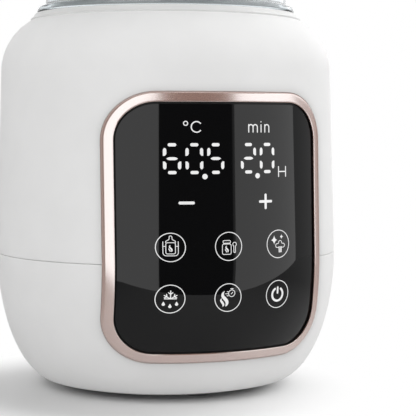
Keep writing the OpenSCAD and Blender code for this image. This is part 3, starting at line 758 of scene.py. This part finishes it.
def panel_bezel():
    lip = BEZEL_W - BEZEL_LIP_W
    lip_offset = BEZEL_PROUD - BEZEL_LIP_DROP
    # Points (inset, offset): outer wall, softened chamfer, face, lip and inner wall
    profile = [
        (0.0, -BEZEL_DEPTH), (0.0, -0.06), (0.02, 0.02),
        (BEZEL_CHAMFER_W - 0.06, BEZEL_PROUD - 0.05), (BEZEL_CHAMFER_W, BEZEL_PROUD - 0.01),
        (BEZEL_CHAMFER_W + 0.08, BEZEL_PROUD), (BEZEL_W / 2, BEZEL_PROUD), (lip - 0.06, BEZEL_PROUD),
        (lip + 0.06, BEZEL_PROUD - 0.02), (BEZEL_W - 0.08, lip_offset + 0.02),
        (BEZEL_W - 0.02, lip_offset - 0.03), (BEZEL_W, lip_offset - 0.1),
        (BEZEL_W, lip_offset - BEZEL_LIP_H), (BEZEL_W, -BEZEL_DEPTH)]
    outline = panel_outline()
    points, rows = [], []
    for inset, offset in profile:
        row = [on_front(x - nx * inset, z - nz * inset, offset) for x, z, nx, nz in outline]
        rows.append(add_row(points, row))
    inner_wall = (len(profile) - 2) * len(outline)
    make_piece("panel_frame", points, ring_faces(rows, closed_profile=True), "rose_gold",
               ["panel_bezel"], groove=lambda number: number >= inner_wall)


def lens_half_width(z, inset):
    """Half width of the lens outline, drawn in by inset, at height z."""
    over = max(past_corner(0, z)[1], 0)
    return CORNER_DX + sqrt(max((PANEL_CORNER_R - inset) ** 2 - over ** 2, 0))


def lens_heights(inset):
    """Heights of the lens rows: even between the corners, by angle within them."""
    above = [z for _, z in arc((0, CORNER_DZ), PANEL_CORNER_R - inset, 0, 90, CORNER_STEPS)[1:]]
    below = [-offset for offset in reversed(above)]
    straight = steps_between(-CORNER_DZ, CORNER_DZ, 2 * SIDE_STEPS)
    return [PANEL_MID_Z + offset for offset in below + straight + above]


def outline_normal(x, z):
    """Outward normal of the panel's outline nearest to (x, z)."""
    over_x, over_z = (max(over, 0) for over in past_corner(x, z))
    return Vector((copysign(over_x, x), copysign(over_z, z - PANEL_MID_Z))).normalized()


def panel_lens():
    face_inset = BEZEL_W + PANEL_FIT + LENS_RIM_W
    points, sides = [], []
    for offset in (-LENS_RECESS, -LENS_RECESS - LENS_T):
        rows = []
        for z in lens_heights(face_inset):
            half = lens_half_width(z, face_inset)
            across = steps_between(-half, half, 2 * TOP_STEPS)
            rows.append(add_row(points, [on_front(x, z, offset, lens_radius) for x in across]))
        sides.append(rows)
    faces = [face for rows in sides for face in ring_faces(rows, closed_rows=False)]

    def border(rows):
        right = [row[-1] for row in rows[1:-1]]
        left = [row[0] for row in rows[1:-1]]
        return rows[0] + right + rows[-1][::-1] + left[::-1]

    front, rear = (border(rows) for rows in sides)
    loops = [front]
    for out, drop in ((0.1, 0.1), (0.2, LENS_RIM_DROP), (LENS_RIM_W, LENS_RIM_DROP), (LENS_RIM_W, LENS_T)):
        loop = []
        for number in front:
            x, z = points[number].x, points[number].z
            normal = outline_normal(x, z)
            place = (x + normal.x * out, z + normal.y * out)
            loop.append(on_front(*place, -LENS_RECESS - drop, lens_radius))
        loops.append(add_row(points, loop))
    rim_start = len(faces)
    faces += ring_faces([*loops, rear])
    piece = make_piece("panel_window", points, faces, "lens_black", ["panel_lens"],
                       groove=lambda number: number >= rim_start)
    piece.data.set_sharp_from_angle(angle=LENS_SHARP_ANGLE)


# Signs on the lens, drawn as flat ribbons; sizes in millimetres, heights from the seam

SIGN_PROUD = 0.03
SIGN_SUNK = 0.02
ICON_STROKE = 0.25
STEM_STROKE = 0.36
TWIG_STROKE = 0.34
POWER_RING_STROKE = 0.82
POWER_BAR_STROKE = 0.76
RING_R = 5.25
RING_STROKE = 0.29
KEY_X = (-22.13, -0.46, 21.14)
KEY_Z = (6.59, -12.59)
MINUS_X = -16.24
MINUS_HALF = 2.4
MINUS_STROKE = 1.08
PLUS_X = 15.41
PLUS_HALF_W = 2.5
PLUS_HALF_H = 2.45
PLUS_STROKE = 0.98
STEP_Z = 22.91
LEAST_MITER = 0.5
LEAST_TAPER = 0.02
LEAST_WIDTH = 0.01
CAP_ANGLES = (80, 60, 40, 20)


class Ribbons:
    """Thin closed strips on the face of the lens, drawn from an origin (x, z)."""

    def __init__(self):
        self.points = []
        self.faces = []
        self.origin = (0.0, 0.0)

    def strip(self, sections, closed=False):
        """Strip through sections (x, z, across x, across z, half width)."""
        rows = []
        for x, z, ax, az, half in sections:
            x, z = self.origin[0] + x, SEAM_Z + self.origin[1] + z
            row = []
            for side, offset in ((-1, SIGN_PROUD), (1, SIGN_PROUD), (1, -SIGN_SUNK), (-1, -SIGN_SUNK)):
                place = (x + side * ax * half, z + side * az * half)
                row.append(on_front(*place, offset - LENS_RECESS, lens_radius))
            rows.append(add_row(self.points, row))
        self.faces += ring_faces(rows, closed_profile=closed)
        if not closed:
            self.faces += [rows[0], rows[-1]]

    def stroke(self, path, width=ICON_STROKE, closed=False):
        """Line of even width along a path of (x, z), with round ends where it isn't closed."""
        half = width / 2
        count = len(path)
        sections = []
        for i, point in enumerate(path):
            before = path[i - 1] if closed or i > 0 else point
            after = path[(i + 1) % count] if closed or i < count - 1 else point
            inward = (Vector(point) - Vector(before)).normalized()
            onward = (Vector(after) - Vector(point)).normalized()
            along = (inward + onward).normalized()
            miter = max(along.dot(inward), along.dot(onward), LEAST_MITER)
            sections.append((point[0], point[1], -along.y, along.x, half / miter))
        if not closed:
            sections = cap(sections[0], half, -1) + sections + cap(sections[-1], half, 1)
        self.strip(sections, closed)

    def ring(self, x, z, radius, width=ICON_STROKE, steps=64):
        self.stroke(arc((x, z), radius, 0, 360, steps)[:-1], width, closed=True)

    def taper(self, points):
        """Smooth line of changing width through points (x, z, half width)."""
        curve = flowing(points)
        sections = []
        for i, (x, z, half) in enumerate(curve):
            along = (curve[min(i + 1, len(curve) - 1)] - curve[max(i - 1, 0)]).to_2d().normalized()
            sections.append((x, z, -along.y, along.x, max(half, LEAST_TAPER)))
        self.strip(sections)

    def shape(self, x, z, levels, half_width):
        """Filled shape about an upright axis: half_width(u) at each height u."""
        self.strip([(x, z + u, 1, 0, max(half_width(u), LEAST_WIDTH)) for u in levels])


def heading(angle):
    """Unit vector at an angle in degrees."""
    return Vector((cos(radians(angle)), sin(radians(angle))))


def cap(section, half, turn):
    """Narrowing sections that round off the end of a stroke."""
    x, z, ax, az, _ = section
    along = Vector((az, -ax)) * turn
    ends = []
    for angle in CAP_ANGLES:
        across, reach = heading(angle) * half
        ends.append((x + along.x * reach, z + along.y * reach, ax, az, across))
    return ends if turn < 0 else ends[::-1]


def rounded_box(x0, z0, x1, z1, radius, steps=5):
    """Closed path of a rectangle with round corners."""
    left, right, low_z, high_z = x0 + radius, x1 - radius, z0 + radius, z1 - radius
    path = []
    for quarter, centre in enumerate([(right, high_z), (left, high_z), (left, low_z), (right, low_z)]):
        path += arc(centre, radius, 90 * quarter, 90 * quarter + 90, steps)
    return path


def mirrored(path, x=0.0):
    """Path followed by its mirror image about the upright line at x."""
    return path + [(2 * x - px, pz) for px, pz in reversed(path) if abs(px - x) > LEAST_WIDTH]


def flowing(points, steps=5):
    """Smooth curve through points of three numbers."""
    ends = [Vector(point) for point in (points[0], *points, points[-1])]
    curve = []
    for a, b, c, d in zip(ends, ends[1:], ends[2:], ends[3:]):
        for k in range(steps):
            t = k / steps
            bend = (2 * a - 5 * b + 4 * c - d) * t + (3 * b - a - 3 * c + d) * t * t
            curve.append(b + (c - a + bend) * t / 2)
    return curve + [ends[-1]]


# Two tongues of a flame or of steam, as points (x, z, half width) along each
FLAME_TALL = (
    (-0.1, 2.95, 0.0), (-0.8, 2.0, 0.4), (-0.75, 0.95, 0.56), (0.0, 0.1, 0.62),
    (0.8, -0.85, 0.62), (1.0, -1.8, 0.52), (0.7, -2.5, 0.32), (0.4, -2.95, 0.0))
FLAME_SHORT = (
    (-1.2, 0.3, 0.0), (-1.5, -0.5, 0.3), (-1.0, -1.25, 0.4),
    (-0.45, -2.1, 0.38), (-0.5, -2.6, 0.28), (-0.7, -3.0, 0.0))
SMALL_FLAME = 0.44
SPARKLE_POWER = 0.62
SPARKLE_SPACING = 1.6
DROP_HEIGHT = 1.75
DROP_POWER = 0.85
DROP_R = 0.58


def draw_flame(ink, x, z, scale):
    for tongue in (FLAME_TALL, FLAME_SHORT):
        ink.taper([(x + scale * px, z + scale * pz, scale * half) for px, pz, half in tongue])


def draw_bottle(ink):
    """Bottle in a tub, with a flame on it."""
    ink.stroke(rounded_box(-1.68, -2.4, 1.68, 1.75, 0.6), closed=True)
    teat = [(-1.7, 1.75), (-1.7, 2.25), (-0.62, 2.9), (-0.5, 3.3)] + arc((0, 3.75), 0.5, 180, 90, 4)
    ink.stroke(mirrored(teat))
    tub = [(-2.7, 2.1), (-2.7, -1.9)] + arc((-1.5, -1.9), 1.2, 180, 270, 6)
    ink.stroke(mirrored(tub))
    for side in (-1, 1):
        ink.stroke([(side * 1.95, 0.4), (side * 2.45, 0.4)])
    draw_flame(ink, 0, -0.35, SMALL_FLAME)


def draw_jar(ink):
    """Jar with a lid and a flame, beside a spoon."""
    ink.stroke(rounded_box(-2.55, -2.95, 0.93, 0.9, 0.6), closed=True)
    ink.stroke(rounded_box(-2.25, 1.2, 0.65, 2.2, 0.35), closed=True)
    draw_flame(ink, -0.75, -0.95, SMALL_FLAME)
    spoon_x = 2.33
    spoon = arc((spoon_x, 0.75), 0.72, -62, 242, 20) + arc((spoon_x, -2.05), 0.33, 180, 360, 6)
    ink.stroke(spoon, closed=True)


def draw_sparkle(ink, x, z, half_h, half_w):
    """Star of four points with hollow sides."""
    power = SPARKLE_POWER
    levels = [half_h * copysign(abs(t) ** SPARKLE_SPACING, t) for t in steps_between(-1.0, 1.0, 20)]
    ink.shape(x, z, levels, lambda u: half_w * max(1 - abs(u / half_h) ** power, 0) ** (1 / power))


def draw_greens(ink):
    """Vegetable with three stems and two sparkles."""
    draw_sparkle(ink, -1.92, 1.57, 1.8, 1.5)
    draw_sparkle(ink, 1.6, 2.7, 0.95, 0.85)
    stem_x = 0.94
    crown = [(stem_x - 0.7, -1.35)] + arc((stem_x - 1.44, -0.6), 0.75, 275, 75, 8)
    ink.stroke(mirrored(crown + arc((stem_x, 0.5), 0.75, 195, 90, 5), stem_x))
    for side in (-1, 0, 1):
        ink.stroke([(stem_x + 0.5 * side, -3.1), (stem_x + 0.58 * side, -1.1)], STEM_STROKE)


def draw_drop(ink, x, z):
    """Drop with a round foot and a pointed top."""
    def half(u):
        if u < 0:
            return sqrt(max(DROP_R ** 2 - u ** 2, 0))
        return DROP_R * max(1 - u / (DROP_HEIGHT * DROP_R), 0) ** DROP_POWER
    levels = [DROP_R * sin(a) for a in steps_between(-pi / 2, 0, 6)]
    levels += steps_between(0.2 * DROP_R, DROP_HEIGHT * DROP_R, 6)
    ink.shape(x, z, levels, half)


def draw_thaw(ink):
    """Upper half of a snowflake over three drops."""
    middle = Vector((0.1, 0.1))
    for angle, length in ((30, 2.55), (90, 2.95), (150, 2.55)):
        ink.stroke([middle, middle + heading(angle) * length], STEM_STROKE)
        knot = middle + heading(angle) * length * 0.58
        for side in (-1, 1):
            ink.stroke([knot, knot + heading(angle + side * 52) * 0.95], TWIG_STROKE)
    for side in (-1, 1):
        ink.stroke([(middle.x + side * 0.2, middle.y), (middle.x + side * 2.1, middle.y)], TWIG_STROKE)
    for x, z in ((-2.33, -1.95), (0.0, -2.8), (2.33, -1.95)):
        draw_drop(ink, x, z)


def draw_steam_timer(ink):
    """Steam beside a flying stopwatch."""
    draw_flame(ink, -1.4, -0.4, 1.0)
    x, z = 1.36, 1.59
    ink.ring(x, z, 1.27, steps=32)
    ink.stroke([(x - 0.5, z + 1.75), (x + 0.5, z + 1.75)])
    ink.stroke([(x, z + 1.3), (x, z + 1.7)])
    ink.stroke([(x - 0.2, z - 0.25), (x + 0.4, z + 0.42)])
    for rise, start in ((0.65, -1.9), (-0.1, -2.5), (-0.9, -1.9)):
        ink.stroke([(x + start, z + rise), (x - 1.35, z + rise)])


def draw_power(ink):
    ink.stroke(arc((0, -0.05), 2.5, 121, 414, 40), POWER_RING_STROKE)
    ink.stroke([(0, 0.5), (0, 2.6)], POWER_BAR_STROKE)


ICONS = (
    (draw_bottle, draw_jar, draw_greens),
    (draw_thaw, draw_steam_timer, draw_power),
)


def key_signs():
    ink = Ribbons()
    for row, z in zip(ICONS, KEY_Z):
        for draw, x in zip(row, KEY_X):
            ink.origin = (x, z)
            ink.ring(0, 0, RING_R, RING_STROKE)
            draw(ink)
    ink.origin = (MINUS_X, STEP_Z)
    ink.stroke([(-MINUS_HALF, 0), (0, 0), (MINUS_HALF, 0)], MINUS_STROKE)
    ink.origin = (PLUS_X, STEP_Z)
    ink.stroke([(-PLUS_HALF_W, 0), (0, 0), (PLUS_HALF_W, 0)], PLUS_STROKE)
    ink.stroke([(0, -PLUS_HALF_H), (0, PLUS_HALF_H)], PLUS_STROKE)
    make_piece("key_signs", ink.points, ink.faces, "inner_white", look="lit_sign")


# Digits: which of the seven segments are lit, and the left and right edge of each digit
DIGITS = (
    ("top upper_left middle lower_left lower_right bottom", -24.43, -18.03),
    ("top upper_left upper_right lower_left lower_right bottom", -16.50, -10.00),
    ("top upper_left middle lower_right bottom", -8.48, -1.96),
    ("top upper_right middle lower_left bottom", 4.81, 11.30),
    ("top upper_left upper_right lower_left lower_right bottom", 12.99, 19.65),
)
DIGIT_LOW_Z = 33.5
DIGIT_HIGH_Z = 44.9
SEGMENT_T = 1.2
SEGMENT_HALF_L = 0.9
# Middle segment as (distance from its middle, half width), on one side
MIDDLE_SPANS = ((0.9, 0.552), (1.4, 0.42), (1.95, 0.1))
# Upright segment: its ends from the digit's middle, its slanted start and its narrowing end
UPRIGHT_START = 1.05
UPRIGHT_END = 3.9
SLANT_SHARE = 0.22
SLANT_DEPTH = 0.46
NARROW_SHARE = 0.28
NARROW_DEPTH = 0.62
POINTS = ((-9.41, 32.57), (11.92, 32.62))
POINT_R = 1.0


def draw_segment(ink, name, left, right):
    half = SEGMENT_T / 2
    middle_x, middle_z = (left + right) / 2, (DIGIT_LOW_Z + DIGIT_HIGH_Z) / 2
    if name in ("top", "bottom"):
        z = DIGIT_HIGH_Z - half if name == "top" else DIGIT_LOW_Z + half
        ink.stroke([(middle_x + side * SEGMENT_HALF_L, z) for side in (-1, 0, 1)], SEGMENT_T)
        return
    if name == "middle":
        spans = [(-reach, h) for reach, h in reversed(MIDDLE_SPANS)] + list(MIDDLE_SPANS)
        ink.strip([(middle_x + dx, middle_z, 0, 1, h) for dx, h in spans])
        return
    upward = 1 if name.startswith("upper") else -1
    outward = -1 if name.endswith("left") else 1
    x = left + half if outward < 0 else right - half
    sections = []
    for t in steps_between(0.0, 1.0, 8):
        z = middle_z + upward * (UPRIGHT_START + (UPRIGHT_END - UPRIGHT_START) * t)
        slant = max(1 - t / SLANT_SHARE, 0)
        narrow = max((t - 1 + NARROW_SHARE) / NARROW_SHARE, 0) ** 2
        h = half * (1 - SLANT_DEPTH * slant - NARROW_DEPTH * narrow)
        sections.append((x + outward * (half - h) * (1 if slant else 0), z, 1, 0, h))
    ink.strip(sections)


UNIT_STROKE = 0.42
UNIT_LOW_Z = 48.95
UNIT_HIGH_Z = 51.7
DEGREE_STROKE = 0.34
HUMP_R = 0.94
HUMP_DROP = 0.9
LETTER_I_X = 13.65
HOUR_X = (21.66, 25.15)
HOUR_Z = (32.15, 34.0, 35.85)


def draw_units(ink):
    """Degrees and minutes above the numbers, and hours beside them."""
    def upright(x, low_z=UNIT_LOW_Z, high_z=UNIT_HIGH_Z):
        ink.stroke([(x, low_z), (x, high_z)], UNIT_STROKE)

    ink.ring(-16.31, 52.17, 0.75, DEGREE_STROKE, 24)
    ink.stroke(arc((-12.35, 50.86), 1.95, 42, 318, 30), UNIT_STROKE)
    for x, arches in ((8.25, 2), (15.34, 1)):
        upright(x)
        for start in [x + 2 * HUMP_R * k for k in range(arches)]:
            hump = arc((start + HUMP_R, UNIT_HIGH_Z - HUMP_DROP), HUMP_R, 180, 0, 8)
            ink.stroke(hump + [(start + 2 * HUMP_R, UNIT_LOW_Z)], UNIT_STROKE)
    upright(LETTER_I_X)
    upright(LETTER_I_X, 52.75, 52.8)
    for x in HOUR_X:
        upright(x, HOUR_Z[0], HOUR_Z[2])
    ink.stroke([(x, HOUR_Z[1]) for x in HOUR_X], UNIT_STROKE)


def display_signs():
    ink = Ribbons()
    for lit, left, right in DIGITS:
        for name in lit.split():
            draw_segment(ink, name, left, right)
    levels = [POINT_R * sin(a) for a in steps_between(-pi / 2, pi / 2, 14)]
    for x, z in POINTS:
        ink.shape(x, z, levels, lambda u: sqrt(max(POINT_R ** 2 - u ** 2, 0)))
    draw_units(ink)
    make_piece("display_signs", ink.points, ink.faces, "inner_white", look="lit_sign")


# Well rim, dome and knob

def well_liner():
    bead_z, under_z, ledge_z = RIM_Z + BEAD_H, SEAT_Z + RIM_SEAT_GAP, LEDGE_TOP_Z - LEDGE_T
    points, faces = lathe(filleted([
        (WELL_R, LEDGE_TOP_Z, LEDGE_EDGE_R), (WELL_R, bead_z, BEAD_EDGE_R), (BEAD_R, bead_z, BEAD_EDGE_R),
        (BEAD_R, RIM_Z, BEAD_FOOT_R), (RIM_R, RIM_Z, RIM_EDGE_R), (RIM_R, under_z, RIM_FOOT_R),
        (LINER_R, under_z, LINER_EDGE_R), (LINER_R, LINER_LOW_Z, LINER_EDGE_R),
        (WELL_R, LINER_LOW_Z, LINER_EDGE_R), (WELL_R, ledge_z, LINER_EDGE_R),
        (LEDGE_R, ledge_z, LEDGE_EDGE_R), (LEDGE_R, LEDGE_TOP_Z, LEDGE_EDGE_R)]))
    make_piece("well_liner_skin", points, faces, "liner_grey", replaces=["well_liner"])


def dome_side(inset):
    """Shoulder and flat top of the dome, drawn in by inset, as (radius, z) from the wall inwards."""
    shoulder_z = DOME_TOP_Z - DOME_SHOULDER_R
    edge_r = DOME_INNER_R + DOME_WALL - (shoulder_z - RIM_Z) * tan(DOME_DRAFT)
    centre = (edge_r - DOME_SHOULDER_R, shoulder_z)
    side = arc(centre, DOME_SHOULDER_R - inset, 0, 90, DOME_SHOULDER_STEPS)
    flat = (STEAM_CIRCLE_R + STEAM_RING_W, STEAM_CIRCLE_R - STEAM_RING_W, DOME_SCREW_R)
    return side + [(radius, DOME_TOP_Z - inset) for radius in flat]


def steam_dome():
    outer_r = DOME_INNER_R + DOME_WALL
    flange_top = RIM_Z + DOME_FLANGE_T
    foot = filleted([
        (DOME_INNER_R, RIM_Z + 6, 0), (DOME_INNER_R, RIM_Z, 0.4), (DOME_FLANGE_R, RIM_Z, 0.5),
        (DOME_FLANGE_R, flange_top, 0.9), (outer_r - DOME_FOOT_DRAW, flange_top, 1.2),
        (outer_r - 2 * DOME_FOOT_DRAW, RIM_Z + 8, 0)])
    points, faces = lathe(foot + dome_side(0) + dome_side(DOME_WALL)[::-1])
    piece = make_piece("steam_dome_skin", points, faces, "dome_clear", ["steam_dome"], "dome")
    hole = [
        (NEAR_AXIS, -2 * DOME_WALL), (STEAM_HOLE_R, -2 * DOME_WALL),
        (STEAM_HOLE_R, DOME_WALL), (NEAR_AXIS, DOME_WALL)]
    for x, y in arc((0, 0), STEAM_CIRCLE_R, 45, 315, 3):
        carve(piece, "DIFFERENCE", hole, Matrix.Translation((x, y, DOME_TOP_Z)))


def dome_knob():
    foot_z, bore_z = DOME_TOP_Z + KNOB_SEAT_GAP, DOME_TOP_Z + KNOB_BORE_H
    cap_z = KNOB_TOP_Z - 2 * KNOB_EDGE_R
    points, faces = lathe(filleted([
        (KNOB_BORE_R, foot_z, 0), (KNOB_WAIST_R + 2.4, foot_z, 0.4), (KNOB_WAIST_R, DOME_TOP_Z + 2.2, 3.0),
        (KNOB_WAIST_R + 0.2, cap_z - 1.2, 2.2), (KNOB_R, cap_z + 1.4, 2.0),
        (KNOB_R - 0.3, KNOB_TOP_Z - 0.6, 2.4), (2.0, KNOB_TOP_Z, 0), (NEAR_AXIS, KNOB_TOP_Z, 0),
        (NEAR_AXIS, bore_z, 0), (KNOB_BORE_R, bore_z, 0)], 6))
    make_piece("dome_knob_skin", points, faces, "housing_white", ["dome_knob"], "dome")


# Studio, in metres

CAMERA_AZIMUTH = radians(-19.783)
CAMERA_DISTANCE = 0.565433
CAMERA_HEIGHT = 0.104913
CAMERA_YAW = radians(-1.768)
CAMERA_PITCH = radians(3.3246)
CAMERA_LENS = 116.99
SENSOR_WIDTH = 36.0

# Table top: its edges, the fade of its shadow, and its tones as (from x, to x) and (from tone, to tone)
FLOOR_FRONT_Y = -0.202
FLOOR_RIGHT_X = 0.7
FLOOR_SIZE = 2.0
FLOOR_ROUGHNESS = 0.7
FLOOR_SHADOW_CENTRE = (-0.022, -0.01, 0.0)
FLOOR_FADE = (0.05, 0.095)
FLOOR_TONES = (((-0.25, -0.03), (0.33, 0.77)), ((0.04, 0.25), (0.77, 0.33)))

# Softboxes as (from azimuth, to azimuth) in degrees and radiance, at one distance and height
LIGHT_DISTANCE = 2.5
SOFTBOX_LOW_Z = -0.85
SOFTBOX_HIGH_Z = 2.2
SOFTBOXES = {"left_softbox": (-75.0, -24.6, 1.4), "right_softbox": (26.0, 75.0, 1.33)}

# Overhead lights as place, size and radiance, turned to the middle of the body
LIGHT_TARGET = Vector((0.0, 0.0, 0.1))
OVERHEAD = {
    "right_light": ((1.6, -0.6, 1.8), (1.6, 1.2), 1.2),
    "right_side_light": ((2.0, 0.5, 1.3), (2.4, 2.0), 1.55),
    "left_light": ((-1.4, -0.8, 1.9), (1.6, 1.2), 1.9),
}

# Room light: levels, and the azimuths or heights of direction between which one turns into the next
AMBIENT = 0.53
GAP = 0.1
BACKDROP = 0.8
RIGHT_BACKDROP = 1.4
ZENITH = 0.45
GAP_EDGE = (radians(25.0) - 0.01, radians(25.0) + 0.01)
GAP_TOP = (0.65, 0.9)
SIDE_FALL = (radians(96), radians(110))
BACKDROP_RISE = (radians(108), radians(148))
RIGHT_RISE = (radians(112), radians(140))
ZENITH_FALL = (0.6, 0.95)


def make_camera():
    data = bpy.data.cameras.new("camera")
    data.lens = CAMERA_LENS
    data.sensor_width = SENSOR_WIDTH
    camera = add_object("camera", data)
    turn = Euler((pi / 2 - CAMERA_PITCH, 0.0, CAMERA_AZIMUTH + CAMERA_YAW))
    place = around(CAMERA_DISTANCE, CAMERA_AZIMUTH, CAMERA_HEIGHT)
    camera.matrix_world = Matrix.LocRotScale(place, turn, None)
    bpy.context.scene.camera = camera


def area_light(name, place, towards, size, radiance):
    """Light that reflections show, but not the camera, neither directly nor through clear plastic."""
    data = bpy.data.lights.new(name, "AREA")
    data.shape = "RECTANGLE"
    data.size, data.size_y = size
    data.energy = radiance * pi * size[0] * size[1]
    light = add_object(name, data)
    light.location = place
    light.rotation_mode = "QUATERNION"
    light.rotation_quaternion = towards.to_track_quat("-Z", "Y")
    light.visible_camera = False
    light.visible_transmission = False


def make_lights():
    height = SOFTBOX_HIGH_Z - SOFTBOX_LOW_Z
    for name, (start, end, radiance) in SOFTBOXES.items():
        width = 2 * LIGHT_DISTANCE * tan(radians(end - start) / 2)
        middle = radians(start + end) / 2
        place = around(LIGHT_DISTANCE, middle, (SOFTBOX_LOW_Z + SOFTBOX_HIGH_Z) / 2)
        area_light(name, place, -around(1, middle, 0), (width, height), radiance)
    for name, (place, size, radiance) in OVERHEAD.items():
        area_light(name, place, LIGHT_TARGET - Vector(place), size, radiance)


def make_world():
    """Even studio light with a dark gap behind the camera; the camera sees a white background."""
    world = bpy.data.worlds.new("studio")
    world.use_nodes = True
    tree = world.node_tree

    def ramp(value, span, first, second):
        return map_range(tree, value, span, (first, second), "SMOOTHSTEP")

    x = add_node(tree, "SeparateXYZ", {"Vector": add_node(tree, "TexCoord", {}, "Generated")})
    y, z = x.node.outputs["Y"], x.node.outputs["Z"]
    turn = calc(tree, "ARCTAN2", x, calc(tree, "MULTIPLY", y, -1.0))
    azimuth = calc(tree, "ABSOLUTE", turn)
    level = calc(tree, "ADD", ramp(azimuth, SIDE_FALL, AMBIENT, GAP),
                 ramp(azimuth, BACKDROP_RISE, 0.0, BACKDROP - GAP))
    level = calc(tree, "ADD", level, ramp(turn, RIGHT_RISE, 0.0, RIGHT_BACKDROP - BACKDROP))
    open_sky = calc(tree, "MAXIMUM", ramp(azimuth, GAP_EDGE, 0.0, 1.0), ramp(z, GAP_TOP, 0.0, 1.0))
    extra = calc(tree, "MULTIPLY", open_sky, calc(tree, "SUBTRACT", level, GAP))
    light = calc(tree, "MULTIPLY", calc(tree, "ADD", GAP, extra), ramp(z, ZENITH_FALL, 1.0, ZENITH))
    shown = calc(tree, "MULTIPLY", seen_directly(tree), calc(tree, "SUBTRACT", 1.0, light))
    background = tree.nodes["Background"]
    put(tree, background.inputs["Color"], (1.0, 1.0, 1.0, 1.0))
    put(tree, background.inputs["Strength"], calc(tree, "ADD", light, shown))
    bpy.context.scene.world = world


def make_floor():
    """Pale table top that fades into the white background where it is seen directly."""
    left, back = FLOOR_RIGHT_X - FLOOR_SIZE, FLOOR_FRONT_Y + FLOOR_SIZE
    corners = [(left, FLOOR_FRONT_Y, 0), (FLOOR_RIGHT_X, FLOOR_FRONT_Y, 0)]
    corners += [(FLOOR_RIGHT_X, back, 0), (left, back, 0)]
    mesh = bpy.data.meshes.new("floor")
    mesh.from_pydata(corners, [], [(0, 1, 2, 3)])
    floor = add_object("floor", mesh)
    material, tree = new_material("floor_white", (1.0, 1.0, 1.0), FLOOR_ROUGHNESS)
    place = add_node(tree, "TexCoord", {}, "Object")
    x = add_node(tree, "SeparateXYZ", {"Vector": place})
    tones = [map_range(tree, x, span, tone) for span, tone in FLOOR_TONES]
    set_shader(material, Base_Color=calc(tree, "MINIMUM", *tones))
    inputs = {0: place, 1: FLOOR_SHADOW_CENTRE}
    distance = add_node(tree, "VectorMath", inputs, "Value", operation="DISTANCE")
    fade = map_range(tree, distance, FLOOR_FADE, (0.0, 1.0), "SMOOTHSTEP")
    white_share = calc(tree, "MULTIPLY", fade, seen_directly(tree))
    lit = tree.nodes["Principled BSDF"].outputs["BSDF"]
    inputs = {0: white_share, 1: lit, 2: add_node(tree, "Emission", {})}
    put(tree, tree.nodes["Material Output"].inputs["Surface"], add_node(tree, "MixShader", inputs))
    mesh.materials.append(material)


# Build

make_camera()
upper_housing()
lower_housing()
panel_bezel()
panel_lens()
key_signs()
display_signs()
well_liner()
steam_dome()
dome_knob()

slot_of = {part["node"]: part["material_slot"] for part in frame["record"]["subparts"]}
for name, node in frame["nodes"].items():
    smooth_faces(node.data)
    for material_slot in node.material_slots:
        material_slot.material = MATERIALS[slot_of[name]]

make_floor()
make_lights()
make_world()
bpy.context.scene.view_settings.view_transform = "Standard"
